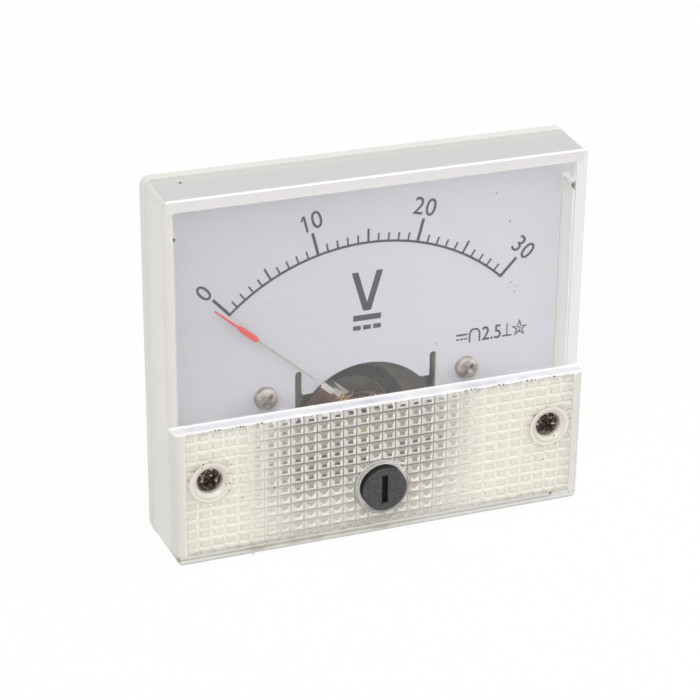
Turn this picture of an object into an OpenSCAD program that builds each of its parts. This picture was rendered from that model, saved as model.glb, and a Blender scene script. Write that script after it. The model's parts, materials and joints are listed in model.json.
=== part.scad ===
// Analog panel meter: a moving-coil voltmeter that is fixed in a panel cut-out.
// The panel lies against the plane Y = 0, the dial looks along -Y and +Z is up.
// A depth is a distance in front of the panel face, and is negative behind it.

/* [Case] */
// Width of the flange and of the cover at the panel
case_w = 64; // [60:1:76]
// Height of the flange and of the cover at the panel
case_h = 56; // [54:1:66]
// Radius of the two upper corners of the outline
corner_r = 1.3; // [1:0.1:4]
// Radius of the two lower corners of the outline
foot_corner_r = 2.2; // [1.5:0.1:3.5]
// Inward lean of the cover's sides for each millimetre of depth
draft = 0.037; // [0:0.005:0.06]
// Thickness of the flange
flange_t = 1.75; // [1.5:0.25:3]
// Height of the lip that the cover slides over
lip_h = 1.95; // [1:0.25:3]
// Thickness of that lip
lip_t = 1.2; // [0.8:0.1:2]
// Gap all round between the lip and the cover
lip_gap = 0.1; // [0.05:0.05:0.3]

/* [Cover] */
// Thickness of the cover's side walls
cover_wall = 1.4; // [1:0.1:2]
// Depth of the outer face of the window
window_depth = 9.9; // [9:0.1:12]
// Thickness of the window
window_t = 1.5; // [1:0.1:2]
// How far the lower band stands out beyond the window
band_step = 2.55; // [1:0.1:4]
// Height of the lower band above the lower edge of the case
band_h = 21.7; // [19:0.1:24]
// Thickness of the band's front, with its ridges
band_t = 1.4; // [1.2:0.1:2]
// Thickness of the band's top face
shelf_t = 0.9; // [0.6:0.1:1.5]
// Radius of the edge round the window
window_edge_r = 0.3; // [0.2:0.1:1]
// Radius of the edges round the band
band_edge_r = 1; // [0.3:0.1:1.5]
// Radius of the band's upper front edge
shelf_edge_r = 0.4; // [0.2:0.1:0.8]

/* [Waffle pattern] */
// Width of one cell
cell_w = 2.01; // [1.6:0.01:3]
// Height of one cell
cell_h = 1.55; // [1.3:0.01:3]
// Depth of the pocket in each cell
pocket_depth = 0.6; // [0.3:0.1:0.8]
// Width of the flat floor of a pocket
pocket_flat_w = 0.95; // [0.3:0.05:1.2]
// Height of the flat floor of a pocket
pocket_flat_h = 0.7; // [0.3:0.05:1]

/* [Cover screws] */
// Distance of each cover screw from the middle
cover_screw_x = 26.3; // [24:0.1:27]
// Height of the cover screws above the lower edge of the case
cover_screw_up = 13.5; // [10:0.5:18]
// Radius of the screw's shank
cover_screw_r = 1.25; // [1:0.05:1.5]
// Radius of the screw's head
cover_head_r = 1.7; // [1.6:0.1:2.2]
// Height of the screw's head
cover_head_h = 1.3; // [0.8:0.1:1.8]
// How deep the well of a cover screw is
well_depth = 1.9; // [1.5:0.1:2.5]

/* [Base] */
// Radius of the round can behind the panel
can_r = 23; // [22.8:0.1:23.2]
// How far the can keeps from the flange's lower edge
can_margin = 0.2; // [0.1:0.1:0.5]
// Depth of the can behind the panel
can_len = 25; // [25:0.5:40]
// Thickness of the can's wall
can_wall = 1.5; // [1.2:0.1:1.7]
// Radius of the can's rear edge
can_edge_r = 1.2; // [0.5:0.1:1.4]
// Width of each raised block beside the movement
block_w = 9; // [8:0.5:9.5]
// Height of each raised block
block_h = 14; // [11:1:15]

/* [Dial] */
// Depth of the dial's face
dial_depth = 4.4; // [4:0.1:5]
// Thickness of the dial plate
dial_t = 0.6; // [0.5:0.1:1.2]
// Gap between the dial and the cover's side walls
dial_gap = 0.6; // [0.4:0.1:2]
// Distance from the dial's upper edge to the upper edge of the case
dial_upper_gap = 3.1; // [3:0.1:6]
// Height of the dial's lower edge above the lower edge of the case
dial_low = 18.5; // [17:0.5:20]
// Radius of the round part of the dial's cut-out
window_r = 11.6; // [11:0.1:12]
// Half the width of the cut-out's lower part
notch_x = 11.05; // [10.8:0.05:11.6]
// Height of the notch in the dial above the lower edge of the case
notch_up = 21.2; // [20:0.1:22]
// Height of the top of the two upright slots above the lower edge of the case
slot_up = 24.95; // [23:0.05:26]
// Width of the upright slots
slot_w = 1.15; // [0.8:0.05:1.5]
// Radius of the scale's arc
scale_r = 30.5; // [28:0.1:30.8]
// Angle from the middle of the scale to either end
scale_half = 43; // [35:1:45]
// Number of divisions on the scale
divisions = 30; // [10:1:40]
// Width of the scale's arc
scale_line = 0.36; // [0.2:0.02:0.5]
// Width of the long marks
mark_w = 0.44; // [0.3:0.02:0.6]
// Thickness of the printed scale
print_t = 0.04; // [0.02:0.01:0.1]
// Length of a short mark
mark_short = 1.3; // [1:0.1:2]
// Length of a middle mark
mark_mid = 2.1; // [1.5:0.1:3]
// Length of a long mark
mark_long = 3.6; // [2.5:0.1:4.5]
// Distance of each dial screw from the middle
dial_screw_x = 15.65; // [15:0.05:17]
// Height of the dial screws above the lower edge of the case
dial_screw_up = 21.7; // [21:0.1:22]

/* [Movement] */
// Height of the pointer's axis above the lower edge of the case
pivot_up = 13.2; // [12.6:0.1:13.6]
// Depth of the front face of the yoke, behind the panel face
yoke_front = -2; // [-3:0.1:-1.8]
// Thickness of the yoke
yoke_t = 7; // [6:0.5:8]
// Outer radius of the yoke
yoke_r = 12.6; // [12:0.1:13]
// Radius of the yoke's bore
yoke_bore_r = 8.6; // [8.5:0.1:9]
// Gap between the yoke and the can
yoke_gap = 0.2; // [0.1:0.05:0.4]
// Thickness of the yoke's two ears
ear_t = 1.6; // [1.2:0.1:2.5]
// Radius of the round ends of the ears
ear_r = 2.5; // [2.3:0.1:2.8]
// Distance of each movement screw from the middle
ear_x = 15.65; // [15:0.05:16]
// Radius of the core magnet
core_r = 6.3; // [5.5:0.1:6.4]
// How far the core's front lies behind the yoke's front
core_inset = 0.5; // [0.2:0.1:1]
// Width of the bar that holds the core
holder_w = 3; // [2.8:0.1:3.2]
// Thickness of that bar
holder_t = 1.5; // [1:0.1:2]

/* [Coil and pointer] */
// Inner radius of the coil's frame
coil_r = 6.8; // [6.7:0.05:6.9]
// Width of the coil's frame
coil_w = 5; // [4:0.1:5]
// Thickness of the coil's frame
former_t = 0.3; // [0.2:0.05:0.4]
// Thickness of the winding
winding_t = 0.8; // [0.5:0.05:0.85]
// How much narrower the winding is than the frame, on each side
winding_inset = 0.4; // [0.2:0.1:0.8]
// Gap between the coil's frame and the core, front and back
coil_gap = 0.4; // [0.3:0.1:0.6]
// Angle of the resting coil from the middle of the scale
pointer_rest = -49; // [-50:0.5:-43]
// How far the needle runs beside the axis
needle_side = 2.6; // [0:0.1:2.6]
// Distance of the pointer's tip along the needle
pointer_r = 33.3; // [33:0.1:34]
// Depth of the pointer above the dial
pointer_lift = 1.3; // [1:0.1:1.6]
// Thickness of the pointer
pointer_t = 0.25; // [0.2:0.05:0.4]
// Width of the needle
needle_w = 0.22; // [0.2:0.02:0.5]
// Width of the tip beyond the blade
tip_w = 0.34; // [0.2:0.02:0.5]
// Width of the blade near the tip
blade_w = 0.84; // [0.6:0.02:1.6]
// Distance from the axis to the start of the blade
blade_r0 = 24.9; // [24:0.1:27]
// Distance from the axis to the end of the blade
blade_r1 = 29; // [28:0.1:31]
// Thickness of the pointer's hub
hub_t = 0.4; // [0.3:0.1:0.6]
// Length of the two side balance arms
arm_len = 5.6; // [5:0.1:6]
// Length of the balance arm opposite the pointer
tail_len = 8.2; // [7:0.1:8.3]
// Radius of a pivot
pivot_r = 0.4; // [0.3:0.05:0.5]
// Running gap between a pivot and its jewel
pivot_gap = 0.03; // [0.02:0.01:0.06]

/* [Bridges and springs] */
// Distance of each bridge pillar from the axis
pillar_x = 10.6; // [10.4:0.1:10.8]
// Radius of the pillars
pillar_r = 1.7; // [1.5:0.1:1.8]
// Length of the front pillars
pillar_front = 5.4; // [5:0.1:5.6]
// Length of the rear pillars
pillar_rear = 6; // [5.5:0.1:7]
// Width of the bridges
bridge_w = 4.6; // [4.2:0.1:5]
// Thickness of the bridges
bridge_t = 1.1; // [0.8:0.1:1.2]
// Radius of the jewel screws
jewel_r = 1.4; // [1.2:0.1:1.6]
// Outer radius of the springs
spring_r = 6.2; // [5.5:0.1:6.4]
// Inner radius of the springs
spring_core_r = 1.5; // [1.4:0.1:2]
// Number of turns of a spring
spring_turns = 6; // [4:1:8]
// Thickness of the spring's strip
spring_strip = 0.12; // [0.1:0.01:0.2]
// Width of the spring's strip
spring_h = 0.5; // [0.3:0.1:0.7]

/* [Zero adjuster] */
// Height of the adjuster's axis above the lower edge of the case
adjuster_up = 7.9; // [7:0.1:8.2]
// Radius of the adjuster's head
adjuster_r = 3.4; // [3:0.1:3.8]
// How far the head stands out of the band
adjuster_proud = 0.5; // [0:0.1:1]
// Thickness of the adjuster's head
adjuster_head_t = 1.4; // [1:0.1:1.6]
// Radius of the recess round the head
recess_r = 3.95; // [3.85:0.05:4.4]
// Radius of the adjuster's shank
shank_r = 2.4; // [2:0.1:2.8]
// Running gap round the shank
shank_gap = 0.05; // [0.03:0.01:0.08]
// Offset of the adjuster's pin from its axis
pin_offset = 1; // [0.8:0.1:1.2]
// Radius of the adjuster's pin
pin_r = 0.45; // [0.4:0.05:0.6]
// Gap between that pin and the fork
fork_gap = 0.12; // [0.1:0.01:0.2]
// Thickness of the zero lever
lever_t = 0.5; // [0.4:0.1:0.7]

/* [Rear fittings] */
// Distance of each mounting stud from the middle
stud_x = 25; // [24:0.5:26]
// Distance of the mounting studs from the upper and lower edges of the case
stud_edge = 7; // [6:0.5:8]
// Radius of the mounting studs' threads
stud_r = 1.5; // [1.5:0.25:2]
// Length of the mounting studs behind the panel face
stud_len = 13; // [10:1:20]
// Thickness of panel that the nuts are set for
panel_t = 2; // [1:0.5:3]
// Distance of each terminal from the middle
terminal_x = 12; // [10:0.5:13]
// Height of the terminal studs above the can's axis
terminal_up = 5.8; // [1:0.1:9]
// Radius of the terminal studs' threads
terminal_r = 2; // [1.5:0.25:2.5]
// Length of the terminal studs outside the can
terminal_len = 12; // [11:0.5:16]
// Height of the boss round each terminal
boss_h = 1.2; // [0.8:0.1:2]

/* [Hidden] */
// Heights in the frame of the part, worked out from the edges of the case
foot_z = -case_h / 2;
band_top = foot_z + band_h;
cover_screw_z = foot_z + cover_screw_up;
can_z = foot_z + can_r + can_margin;
dial_top = case_h / 2 - dial_upper_gap;
dial_bottom = foot_z + dial_low;
notch_z = foot_z + notch_up;
slot_top = foot_z + slot_up;
dial_screw_z = foot_z + dial_screw_up;
pivot_z = foot_z + pivot_up;
ear_z = pivot_z;
adjuster_z = foot_z + adjuster_up;
stud_z = case_h / 2 - stud_edge;
terminal_z = can_z + terminal_up;

$fn = 64;
// A small length by which cuts run past a face and unions reach into it
eps = 0.01;
over = 1;
sides = [-1, 1];
arc_steps = 6;
// Gap between parts that fit together, and the wall round a screw's blind hole
fit_gap = 0.03;
blind_gap = 0.5;

// Depths of the cover's front faces, outer and inner
band_depth = window_depth + band_step;
window_inner = window_depth - window_t;
pocket_floor = band_depth - band_t + pocket_depth;
ridge_tip = band_depth - band_t;
// Half the width and height of the cover at a depth, and of the space in it
function half_w(d) = case_w / 2 - draft * d;
function half_h(d) = case_h / 2 - draft * d;
cavity_corner = 0.4;
cavity_r = max(corner_r - cover_wall, cavity_corner);
// The field that the waffle pattern fills
field_x = half_w(pocket_floor) - cover_wall;
field_top = band_top - shelf_t;
field_bottom = -half_h(pocket_floor) + cover_wall;
columns = 2 * floor(field_x / cell_w);
rows = floor((field_top - field_bottom) / cell_h);
ridge_flat = 0.1;
ridge_root = 0.2;
// Ribs on the cover's side walls beside the dial
rib_r = 0.7;
rib_drop = 3;
rib_z = dial_top - rib_drop;
rib_gap = 0.3;

// Wells of the cover screws and the bosses behind them
well_floor = band_depth - well_depth;
well_gap = 0.25;
well_mouth = 0.5;
well_wall = 1.1;
well_boss_r = cover_head_r + well_wall;
well_boss_back = well_floor - well_wall;
screw_gap = 0.02;
block_top = well_boss_back;
block_gap = 0.3;
block_corner_r = 1;
block_x = half_w(block_top) - cover_wall - block_gap - block_w / 2;
block_z = dial_bottom - block_gap - block_h / 2;
cover_screw_len = 7.5;
cross_w = 0.55;
cross_depth = 0.75;
// Height of a head's crown and span of its cross as shares of the head
crown_share = 0.35;
cross_share = 1.25;

// The can and what is carried in it
can_inner = can_r - can_wall;
can_floor = -can_len + can_wall;
lip_top = flange_t + lip_h;
ear_front = yoke_front;
ear_back = ear_front - ear_t;
column_r = 2.7;
column_web = 0.7;
ear_root = 2;
small_screw_r = 1;
small_head_r = 1.7;
small_head_h = 1.2;
movement_screw_len = 6;

// The dial
dial_back = dial_depth - dial_t;
dial_half = half_w(dial_depth) - cover_wall - dial_gap;
dial_corner_r = 0.6;
slot_x = notch_x - slot_w / 2;
step_angle = 2 * scale_half / divisions;
dial_post_r = 2;
dial_post_gap = 0.3;
dial_screw_len = 3.4;
mark_mid_share = 0.75;
mark_short_share = 0.6;

// The movement
yoke_back = yoke_front - yoke_t;
core_front = yoke_front - core_inset;
core_back = yoke_back;
holder_back = core_back - holder_t;
// The bar stands square to the middle of the coil's travel
holder_turn = 4.2;
front_inner = core_front + coil_gap;
rear_inner = holder_back - coil_gap;
coil_front = front_inner + former_t + winding_t;
coil_back = rear_inner - former_t - winding_t;
hub_front = coil_front + hub_t;
hub_r = 1.6;
pointer_depth = dial_depth + pointer_lift;
arm_w = 0.5;
tab_w = 0.9;
tab_r0 = 3;
tab_foot = 1.6;
// The tab's riser, its step and its top, where the needle starts
rise_r0 = 7.6;
rise_r1 = 8.9;
rise_r2 = 9.9;
rise_r3 = 12;
step_drop = 0.2;
step_depth = dial_back - step_drop;
blade_lead = 0.4;
blade_taper = 0.8;
weight_r = 0.6;
weight_len = 1.6;
tail_weight_len = 3.2;

// Bridges, pivots and springs
bridge_front_back = yoke_front + pillar_front;
bridge_front_face = bridge_front_back + bridge_t;
bridge_rear_front = holder_back - pillar_rear;
bridge_rear_face = bridge_rear_front - bridge_t;
bridge_end_r = bridge_w / 2;
jewel_reach = 0.7;
jewel_front_tip = bridge_front_back - jewel_reach;
jewel_rear_tip = bridge_rear_front + jewel_reach;
jewel_cup = 0.5;
cup_gap = 0.1;
cup_slope = 0.6;
cup_end_r = 0.06;
collet_r = 1.1;
// The pivot's foot in the hub, its neck, and its point with a blunt end
pivot_foot = 0.6;
pivot_neck = 0.5;
pivot_point = 0.6;
pivot_end_r = 0.05;
spring_front_depth = (hub_front + jewel_front_tip) / 2 - spring_h / 2;
spring_rear_depth = (coil_back + jewel_rear_tip) / 2 - spring_h / 2;
spring_steps = 24;
lever_gap = 0.05;
lever_ring_wall = 1.1;
lever_back = bridge_front_face + lever_gap;
lever_face = lever_back + lever_t;
lever_ring_r = jewel_r + lever_ring_wall;
jewel_nut_t = 0.9;
jewel_nut_r = 2.6;
jewel_proud = 0.9;
jewel_rear_proud = 0.7;
jewel_head = lever_face + jewel_nut_t + jewel_proud;
jewel_rear_head = bridge_rear_face - jewel_nut_t - jewel_rear_proud;
slot_cut_w = 0.5;
slot_cut_d = 0.5;

// The zero adjuster
adjuster_face = band_depth + adjuster_proud;
adjuster_seat = adjuster_face - adjuster_head_t;
adjuster_boss_wall = 0.5;
adjuster_seat_t = 1.1;
adjuster_boss_r = recess_r + adjuster_boss_wall;
adjuster_boss_back = adjuster_seat - adjuster_seat_t;
snap_h = 0.5;
snap_gap = 0.1;
snap_reach = 0.35;
snap_taper = 0.3;
snap_r = shank_r + snap_reach;
slot_half = 2.25;
slot_width = 0.95;
slot_deep = 0.9;
pin_reach = 0.3;
pin_end = lever_back - pin_reach;
fork_half = pin_r + fork_gap;
fork_wall = 0.8;
fork_reach = 0.9;
fork_depth = 0.6;
fork_end = adjuster_z + pin_offset - pin_r - fork_reach;
lever_tab_r = spring_r + fit_gap;
tab_angle = 21;

// Rear fittings
nut_m3_r = 3.1;
nut_m3_t = 2.4;
washer_m3_r = 3.5;
washer_t = 0.5;
stud_boss_r = 3;
stud_head_r = 2.2;
stud_head_t = 1.1;
// A thread is drawn at its pitch radius where a nut holds it, and full size past the nut
thread_depth = 0.16;
stud_core_r = stud_r - thread_depth;
terminal_core_r = terminal_r - thread_depth;
stud_nut_end = -panel_t - washer_t - nut_m3_t;
boss_r = 5;
terminal_start = -can_len - boss_h;
nut_m4_r = 4.05;
nut_m4_t = 3;
washer_m4_r = 4.5;
lug_t = 0.5;
lug_r = 4;
lug_len = 13;
lug_tail_w = 4;
lug_eye_r = 1;
terminal_head_r = 3.6;
terminal_head_t = 1.6;
terminal_end = -can_len - terminal_len;
terminal_nut_end = terminal_start - 2 * nut_m4_t - 2 * washer_t - lug_t;
resistor_r = 1.2;
resistor_len = 6.8;
resistor_wire_r = 0.3;
resistor_gap = 0.4;
resistor_depth = can_floor + terminal_head_t + resistor_r + resistor_gap;
wire_r = 0.6;
wire_inset = 2;
wire_depth = (ear_front + ear_back) / 2;

// ---- Shared shapes ----

// Draws a front view outline, from a depth forward
module facing(depth, length) {
    translate([0, -depth, 0]) rotate([90, 0, 0]) linear_extrude(height = length) children();
}

// A cylinder along the depth
module rod(x, z, depth, length, r) {
    translate([x, -depth, z]) rotate([90, 0, 0]) cylinder(h = length, r = r);
}

// Turns a profile of radius and depth about an axis along the depth
module turned(x, z) {
    translate([x, 0, z]) rotate([90, 0, 0]) rotate_extrude() children();
}

// Draws a side view outline of depth and height, across a width
module side_view(width) {
    rotate([90, 0, -90]) linear_extrude(height = width, center = true) children();
}

// Draws a top view outline of width and depth, from one height to another
module top_view(bottom, top) {
    translate([0, 0, bottom]) mirror([0, 1, 0]) linear_extrude(height = top - bottom) children();
}

// Turns what belongs to the movement about its axis, clockwise from the front
module swung(angle) {
    translate([0, 0, pivot_z]) rotate([0, angle, 0]) children();
}

// Points of an arc about c, without its centre
function arc(c, r, a0, a1) =
    [for (i = [0:arc_steps]) c + r * [cos(a0 + (a1 - a0) * i / arc_steps),
                                      sin(a0 + (a1 - a0) * i / arc_steps)]];

module rounded_outline(w, h, r) {
    square([w - 2 * r, h], center = true);
    square([w, h - 2 * r], center = true);
    for (sx = sides, sz = sides)
        translate([sx * (w / 2 - r), sz * (h / 2 - r)]) circle(r = r);
}

// Outline of the case: its upper and lower corners differ
module case_outline() {
    square([case_w, case_h - 2 * max(corner_r, foot_corner_r)], center = true);
    for (s = sides) let (r = s > 0 ? corner_r : foot_corner_r) {
        translate([-case_w / 2 + r, s > 0 ? 0 : foot_z]) square([case_w - 2 * r, case_h / 2]);
        translate([-case_w / 2, s > 0 ? 0 : foot_z + r]) square([case_w, case_h / 2 - r]);
        for (t = sides) translate([t * (case_w / 2 - r), s * (case_h / 2 - r)]) circle(r = r);
    }
}

// A pan-head screw with a cross recess; its head sits on the depth given
module cross_screw(x, z, seat, head_r, head_h, shank_r, length) {
    crown = head_h * crown_share;
    difference() {
        union() {
            rod(x, z, seat - length, length + eps, shank_r);
            turned(x, z) polygon(concat([[0, seat], [head_r, seat]],
                [for (i = [0:arc_steps]) [head_r * cos(i * 90 / arc_steps),
                    seat + head_h - crown + crown * sin(i * 90 / arc_steps)]]));
        }
        for (a = [45, 135])
            translate([x, -seat - head_h, z]) rotate([0, a, 0])
                cube([head_r * cross_share, 2 * cross_depth, cross_w], center = true);
    }
}

module hex_nut(x, z, depth, t, r, hole_r) {
    translate([x, -depth, z]) rotate([90, 0, 0]) difference() {
        cylinder(h = t, r = r, $fn = 6);
        translate([0, 0, -over]) cylinder(h = t + 2 * over, r = hole_r);
    }
}

module washer(x, z, depth, t, r, hole_r) {
    translate([x, -depth, z]) rotate([90, 0, 0]) difference() {
        cylinder(h = t, r = r);
        translate([0, 0, -over]) cylinder(h = t + 2 * over, r = hole_r);
    }
}

// ---- Cover ----

// Side view of the cover's outer form
module cover_side() {
    w = window_depth;
    b = band_depth;
    h = half_h(w);
    hb = half_h(b);
    polygon(concat(
        [[flange_t, -half_h(flange_t)], [flange_t, half_h(flange_t)]],
        arc([w - window_edge_r, h - window_edge_r], window_edge_r, 90, 0),
        [[w, band_top]],
        arc([b - shelf_edge_r, band_top - shelf_edge_r], shelf_edge_r, 90, 0),
        arc([b - band_edge_r, -hb + band_edge_r], band_edge_r, 0, -90)));
}

// Side view of the space in the cover, up to the floors of the pockets
module cavity_side() {
    polygon([
        [flange_t - over, -half_h(flange_t) + cover_wall],
        [flange_t - over, half_h(flange_t) - cover_wall],
        [window_inner, half_h(window_inner) - cover_wall],
        [window_inner, field_top],
        [pocket_floor, field_top],
        [pocket_floor, field_bottom]]);
}

// Top view of the cover down to a front face at depth d
module cover_top(d, r) {
    w = half_w(d);
    polygon(concat([[-half_w(flange_t), flange_t]],
        arc([-w + r, d - r], r, 180, 90),
        arc([w - r, d - r], r, 90, 0),
        [[half_w(flange_t), flange_t]]));
}

module cavity_top(d) {
    polygon([
        [-half_w(flange_t) + cover_wall, flange_t - over],
        [-half_w(d) + cover_wall, d],
        [half_w(d) - cover_wall, d],
        [half_w(flange_t) - cover_wall, flange_t - over]]);
}

// Row of ridges as one outline: it starts at u0, has count ridges and ends at u1
function ridge_row(u0, u1, first, pitch, count, half_root) = concat(
    [[u0, pocket_floor + ridge_root], [u0, pocket_floor]],
    [for (i = [0:count - 1]) let (u = first + i * pitch) each [
        [u - half_root, pocket_floor], [u - ridge_flat / 2, ridge_tip],
        [u + ridge_flat / 2, ridge_tip], [u + half_root, pocket_floor]]],
    [[u1, pocket_floor], [u1, pocket_floor + ridge_root]]);

// The grid of ridges on the back of the band, between square pockets
module waffle() {
    half_col = (cell_w - pocket_flat_w) / 2;
    half_row = (cell_h - pocket_flat_h) / 2;
    first_x = -(columns / 2 - 1) * cell_w;
    first_z = field_bottom + (field_top - field_bottom - (rows - 1) * cell_h) / 2;
    top_view(field_bottom - eps, field_top + eps)
        polygon(ridge_row(-field_x - eps, field_x + eps, first_x, cell_w, columns - 1, half_col));
    side_view(2 * field_x + 2 * eps)
        polygon([for (p = ridge_row(field_bottom - eps, field_top + eps, first_z, cell_h,
            rows, half_row)) [p[1], p[0]]]);
}

// Rounded corner that narrows forward with the drafted sides
module cover_corner(s, t, r0) {
    turned(s * (case_w / 2 - r0), t * (case_h / 2 - r0)) polygon([
        [0, 0], [r0, 0], [half_w(band_depth) - case_w / 2 + r0, band_depth],
        [0, band_depth]]);
}

// Part of the cover between two heights, with a front face at depth d and corners of r0
module cover_part(bottom, top, d, r, r0) {
    intersection() {
        side_view(case_w + over) cover_side();
        top_view(bottom, top) cover_top(d, r);
        union() {
            facing(0, band_depth + over) square([case_w - 2 * r0, case_h + over],
                center = true);
            facing(0, band_depth + over) square([case_w + over, case_h - 2 * r0],
                center = true);
            for (s = sides, t = sides) cover_corner(s, t, r0);
        }
    }
}

module cavity() {
    intersection() {
        side_view(case_w) cavity_side();
        union() {
            top_view(field_top - eps, case_h / 2) cavity_top(window_inner);
            top_view(-case_h / 2, field_top) cavity_top(pocket_floor);
        }
        facing(flange_t - over, band_depth)
            rounded_outline(case_w - 2 * cover_wall, case_h - 2 * cover_wall, cavity_r);
    }
}

module front_cover() color([0.93, 0.94, 0.95, 0.35]) difference() {
    union() {
        difference() {
            union() {
                cover_part(band_top - eps, case_h / 2, window_depth, window_edge_r, corner_r);
                cover_part(foot_z, band_top, band_depth, band_edge_r, foot_corner_r);
            }
            cavity();
        }
        waffle();
        for (s = sides) {
            rod(s * cover_screw_x, cover_screw_z, well_boss_back, band_depth - well_boss_back
                - ridge_root, well_boss_r);
            rod(s * (half_w(window_inner) - cover_wall), rib_z, dial_depth + rib_gap,
                window_inner - dial_depth - rib_gap + eps, rib_r);
        }
        rod(0, adjuster_z, adjuster_boss_back, band_depth - adjuster_boss_back - ridge_root,
            adjuster_boss_r);
    }
    for (s = sides) {
        rod(s * cover_screw_x, cover_screw_z, well_floor, well_depth + over,
            cover_head_r + well_gap);
        turned(s * cover_screw_x, cover_screw_z) polygon([
            [0, band_depth - well_mouth], [cover_head_r + well_gap, band_depth - well_mouth],
            [cover_head_r + well_gap + well_mouth + over, band_depth + over],
            [0, band_depth + over]]);
        rod(s * cover_screw_x, cover_screw_z, well_boss_back - over, well_depth + 2 * over,
            cover_screw_r + screw_gap);
    }
    rod(0, adjuster_z, adjuster_seat, adjuster_head_t + over, recess_r);
    rod(0, adjuster_z, adjuster_boss_back - over, adjuster_head_t + 2 * over,
        shank_r + shank_gap);
}

// ---- Base ----

// The can as a shell of revolution about its own axis
module can_shell() {
    difference() {
        turned(0, can_z) difference() {
            union() {
                translate([0, -can_len]) square([can_r - can_edge_r, can_len + flange_t]);
                translate([0, -can_len + can_edge_r])
                    square([can_r, can_len - can_edge_r + flange_t]);
                translate([can_r - can_edge_r, -can_len + can_edge_r]) circle(r = can_edge_r);
            }
            translate([-can_edge_r * 2 - over, -can_len - over])
                square([can_edge_r * 2 + over, can_len + flange_t + 2 * over]);
        }
        rod(0, can_z, can_floor, can_len + 2 * over, can_inner);
    }
}

// Column that carries an ear of the yoke, with a rib to the can's wall
module column(s) {
    rod(s * ear_x, ear_z, can_floor - eps, ear_back - can_floor + eps, column_r);
    reach = sqrt(can_inner * can_inner - pow(ear_z - can_z, 2));
    translate([s * (ear_x + reach + can_wall / 2) / 2, 0, ear_z])
        facing(can_floor - eps, (ear_back - can_floor) * column_web)
            square([reach + can_wall / 2 - ear_x, lip_t], center = true);
}

module base() color("ivory") difference() {
    union() {
        difference() {
            facing(0, flange_t) case_outline();
            rod(0, can_z, -over, flange_t + 2 * over, can_inner);
        }
        difference() {
            facing(flange_t - eps, lip_h + eps) rounded_outline(
                2 * (half_w(lip_top) - cover_wall - lip_gap),
                2 * (half_h(lip_top) - cover_wall - lip_gap), cavity_r);
            facing(flange_t - over, lip_h + 2 * over) rounded_outline(
                2 * (half_w(lip_top) - cover_wall - lip_gap - lip_t),
                2 * (half_h(lip_top) - cover_wall - lip_gap - lip_t), cavity_r);
        }
        can_shell();
        for (s = sides) {
            translate([s * block_x, 0, block_z]) facing(flange_t - eps, block_top - flange_t
                + eps) rounded_outline(block_w, block_h, block_corner_r);
            column(s);
            rod(s * terminal_x, terminal_z, -can_len - boss_h, boss_h + eps, boss_r);
            for (t = sides)
                rod(s * stud_x, t * stud_z, flange_t - eps, stud_head_t, stud_boss_r);
        }
    }
    for (s = sides) {
        rod(s * cover_screw_x, cover_screw_z, well_floor - cover_screw_len - blind_gap,
            cover_screw_len + over, cover_screw_r + screw_gap);
        rod(s * ear_x, ear_z, ear_back - movement_screw_len, movement_screw_len + over,
            small_screw_r + screw_gap);
        rod(s * terminal_x, terminal_z, -can_len - boss_h - over, boss_h + can_wall + 2 * over,
            terminal_core_r + fit_gap);
        for (t = sides) {
            rod(s * stud_x, t * stud_z, -over, flange_t + 2 * over, stud_core_r + fit_gap);
            rod(s * stud_x, t * stud_z, flange_t - stud_head_t / 2, stud_head_t,
                stud_head_r + fit_gap);
        }
    }
}

// ---- Dial ----

// The dial's cut-out: a round arch, a wide notch below and two upright slots
module dial_cutout() {
    translate([0, pivot_z]) circle(r = window_r);
    translate([-notch_x, dial_bottom - over])
        square([2 * notch_x, notch_z - dial_bottom + over]);
    for (s = sides) translate([s * slot_x, 0]) {
        translate([-slot_w / 2, notch_z - over])
            square([slot_w, slot_top - notch_z + over - slot_w / 2]);
        translate([0, slot_top - slot_w / 2]) circle(r = slot_w / 2);
    }
}

module dial_plate() color([0.86, 0.86, 0.9]) facing(dial_back, dial_t) difference() {
    translate([0, (dial_top + dial_bottom) / 2])
        rounded_outline(2 * dial_half, dial_top - dial_bottom, dial_corner_r);
    dial_cutout();
    for (s = sides) translate([s * dial_screw_x, dial_screw_z])
        circle(r = small_screw_r + screw_gap);
}

// Length and width of a mark: every tenth is long, every fifth between is middling
function mark_size(i) =
    i % 10 == 0 ? [mark_w, mark_long] :
    i % 5 == 0 ? [mark_w * mark_mid_share, mark_mid] : [mark_w * mark_short_share, mark_short];

module scale_mark(i) {
    rotate(scale_half - i * step_angle)
        translate([-mark_size(i)[0] / 2, scale_r - eps])
            square(mark_size(i));
}

// Printed arc of the scale with its marks
module dial_scale() color([0.16, 0.17, 0.19]) facing(dial_depth, print_t)
    translate([0, pivot_z]) {
        difference() {
            circle(r = scale_r + scale_line / 2, $fn = 180);
            circle(r = scale_r - scale_line / 2, $fn = 180);
            for (s = sides) rotate(-s * scale_half) translate([s * 2 * scale_r, 0])
                square([4 * scale_r - mark_w, 8 * scale_r], center = true);
            translate([0, -2 * scale_r]) square(4 * scale_r, center = true);
        }
        for (i = [0:divisions]) scale_mark(i);
    }

module dial_screws() color("silver") for (s = sides)
    cross_screw(s * dial_screw_x, dial_screw_z, dial_depth, small_head_r, small_head_h,
        small_screw_r, dial_screw_len);

module dial_posts() color("goldenrod") for (s = sides)
    difference() {
        union() {
            rod(s * dial_screw_x, dial_screw_z, ear_front, dial_back - ear_front, dial_post_r);
            rod(s * dial_screw_x, dial_screw_z, ear_back, ear_t + eps, small_screw_r);
        }
        rod(s * dial_screw_x, dial_screw_z, dial_depth - dial_screw_len - dial_post_gap,
            dial_screw_len + over, small_screw_r + screw_gap);
    }

module cover_screws() color([0.35, 0.24, 0.18]) for (s = sides)
    cross_screw(s * cover_screw_x, cover_screw_z, well_floor, cover_head_r, cover_head_h,
        cover_screw_r, cover_screw_len);

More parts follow.
